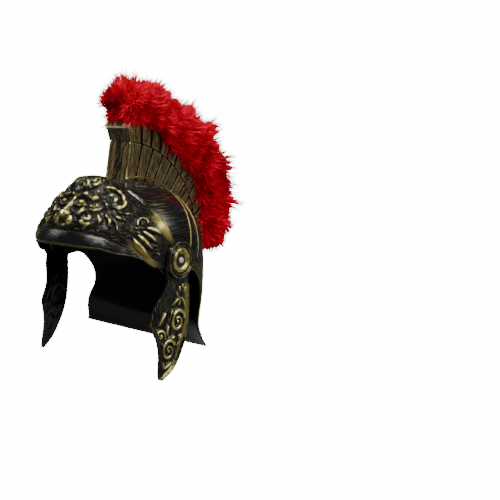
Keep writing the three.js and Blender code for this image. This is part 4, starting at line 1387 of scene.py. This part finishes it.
def dome_side(points, lift):
    """Points of the dome's left side over chosen [y, z] points above the rivets."""
    y, z = np.asarray(points, float).T
    reach = np.where(y > DOME_CENTRE_Y, DOME_BACK, DOME_FRONT)
    share = np.clip(1 - ((y - DOME_CENTRE_Y) / reach) ** 2 - (np.maximum(z, 0) / DOME_HEIGHT) ** 2, 0, 1)
    return np.stack([DOME_HALF_WIDTH * np.sqrt(share) + lift, y, z], -1)


def line_along_face(inset):
    """A line on the skull's left side that follows the ear notch and the neck guard's edge."""
    path = smooth_path(FACE_EDGE, 60)
    along = unit(np.gradient(path, axis=0))
    path = path + inset * np.stack([-along[:, 1], along[:, 0]], -1)
    return skull_side(path[:, 0], path[:, 1], LINE_LIFT)


def hem_line(level):
    """A line round the neck guard from one side edge to the other."""
    turn = np.linspace(-1, 1, 121) * math.radians(HEM_LINE_HALF_TURN)
    point = skull_point(turn, np.full_like(turn, level))
    return point + 2 * LINE_LIFT * np.stack([np.sin(turn), np.cos(turn), 0 * turn], -1)


def skull_lines():
    """The thin lines on both sides of the dome, along the ear notches and round the hem; the one on the
    notch's very edge is a painted highlight.
    """
    paths = [dome_side(smooth_path(line, 40), LINE_LIFT) for line in DOME_LINES]
    paths += [line_along_face(inset) for inset in FACE_LINE_INSETS]
    lines = [tube(path * [hand, 1, 1], LINE_RADIUS) for path in paths for hand in (1, -1)]
    lines += [tube(hem_line(level), radius) for level, radius in HEM_LINES]
    points, faces = joined(lines)
    gold = np.full(len(points), LINE_GOLD)
    mesh_piece("skull_lines", points, faces, "skull_plastic", ("skull",), {"rub": gold, "cover": 0.2 * gold},
               points[:, 1:])


def crest_moulding():
    """The thin moulding along the foot of the crest, and the gold edges of its front, bright as painted
    highlights.
    """
    spots = crest_point("base", np.linspace(0, 1, 60), 2.2)
    foot_width = CREST_LOWER_HALF_WIDTH + 0.1
    lines = [tube(across_crest(hand * foot_width, spots), MOULDING_RADIUS) for hand in (-1, 1)]
    ridge_line, top = block_outline("tier", "top", 0, 1 / CREST_UPPER_BLOCKS, 0.6, 0.0, True)[2:5:2]
    foot, tier = crest_point("base", 0, 1.0), crest_point("tier", 0)
    wide, narrow = CREST_UPPER_HALF_WIDTH, CREST_LOWER_HALF_WIDTH
    # Gold tubes along the ridge and up the front edges, painted highlights
    edges = [([(-wide, *ridge_line), (wide, *ridge_line)], RIDGE_RADIUS)]
    for hand in (-1, 1):
        edges.append(([(hand * wide, *ridge_line), (hand * wide, *top)], RIDGE_RADIUS))
        edges.append(([(hand * narrow, *foot), (hand * narrow, *tier)], CORNER_RADIUS))
    lines += [tube(smooth_path(path, 12), radius, 6, (0.3, 1, 0.2)) for path, radius in edges]
    points, faces = joined(lines)
    # The front, with the ridge and its edges, gets full gold as a painted highlight; the moulding further
    # back half as much
    front_reach = crest_point("base", 0)[0] + 1.5
    values = {"rub": np.where(points[:, 1] < front_reach, 1.0, 0.5), "cover": np.full(len(points), 0.2)}
    mesh_piece("crest_moulding", points, faces, "crest_plastic", ("crest_box",), values, points[:, 1:])


skull_lines()
crest_moulding()


# Rivets keep their own shape

for side_name in ("left", "right"):
    rivet = frame["nodes"]["rivet_" + side_name]
    rivet.data.materials.clear()
    rivet.data.materials.append(FINISHES["rivet_steel"])


# Stage

# How bright floor and world look to the camera, and the little light that the world gives
GLOW = 16.0
SOFT_LIGHT = 0.05
FLOOR_GREY = 0.2
FLOOR_DROP = 0.12
# Name, place, aim, width and height in metres, and power in watts
LIGHTS = [
    ("key", (0.2, -0.8, 1.6), (0, 0, 0), 0.5, 0.2, 42),
    ("side", (1.4, -0.1, 0.8), (0, 0, -0.05), 0.15, 0.6, 15),
    ("fill", (-1.4, -0.4, 0.9), (0, 0, -0.05), 0.2, 0.5, 4),
    ("back", (1.2, 0.9, 1.3), (0, 0, 0), 0.7, 0.3, 10),
]


def seen_brightness(tree, unseen):
    """Bright to the camera, and another value for all other light."""
    return ranged(tree, node(tree, "ShaderNodeLightPath").outputs["Is Camera Ray"], 0.0, 1.0, unseen, GLOW)


def stage():
    """A pale floor and backdrop, and four soft lights."""
    bpy.ops.mesh.primitive_plane_add(size=8, location=(0, 0, cad_box[0][2] - FLOOR_DROP))
    floor = bpy.context.object
    floor.name = "floor"
    material, tree, shader = new_material("pale floor")
    feed(tree, shader, {"Base Color": (FLOOR_GREY, FLOOR_GREY, FLOOR_GREY, 1), "Roughness": 0.9,
                        "Emission Strength": 1.0, "Emission Color": seen_brightness(tree, 0.0)})
    floor.data.materials.append(material)
    world = bpy.data.worlds.new("soft white")
    world.use_nodes = True
    tree = world.node_tree
    strength = seen_brightness(tree, SOFT_LIGHT)
    feed(tree, tree.nodes["Background"], {"Color": (1, 1, 1, 1), "Strength": strength})
    bpy.context.scene.world = world
    for name, place, aim, wide, tall, power in LIGHTS:
        light = bpy.data.lights.new(name, "AREA")
        light.shape = "RECTANGLE"
        light.size = wide
        light.size_y = tall
        light.energy = power
        lamp = linked(name, light)
        lamp.location = place
        lamp.rotation_euler = (Vector(place) - Vector(aim)).to_track_quat("Z", "Y").to_euler()


def camera():
    """Stands about a metre off the left brow and looks at the rivet axis, which the photograph
    frames left of its middle."""
    distance = 1.0425
    look = Vector((-0.6849, 0.7117, -0.1564))
    lens = bpy.data.cameras.new("camera")
    lens.sensor_width = 36
    lens.lens = 61.2
    lens.shift_x = 0.272
    view = linked("camera", lens)
    view.location = Vector(RIVET_AXIS) - distance * look
    view.rotation_euler = look.to_track_quat("-Z", "Y").to_euler()
    bpy.context.scene.camera = view


stage()
camera()
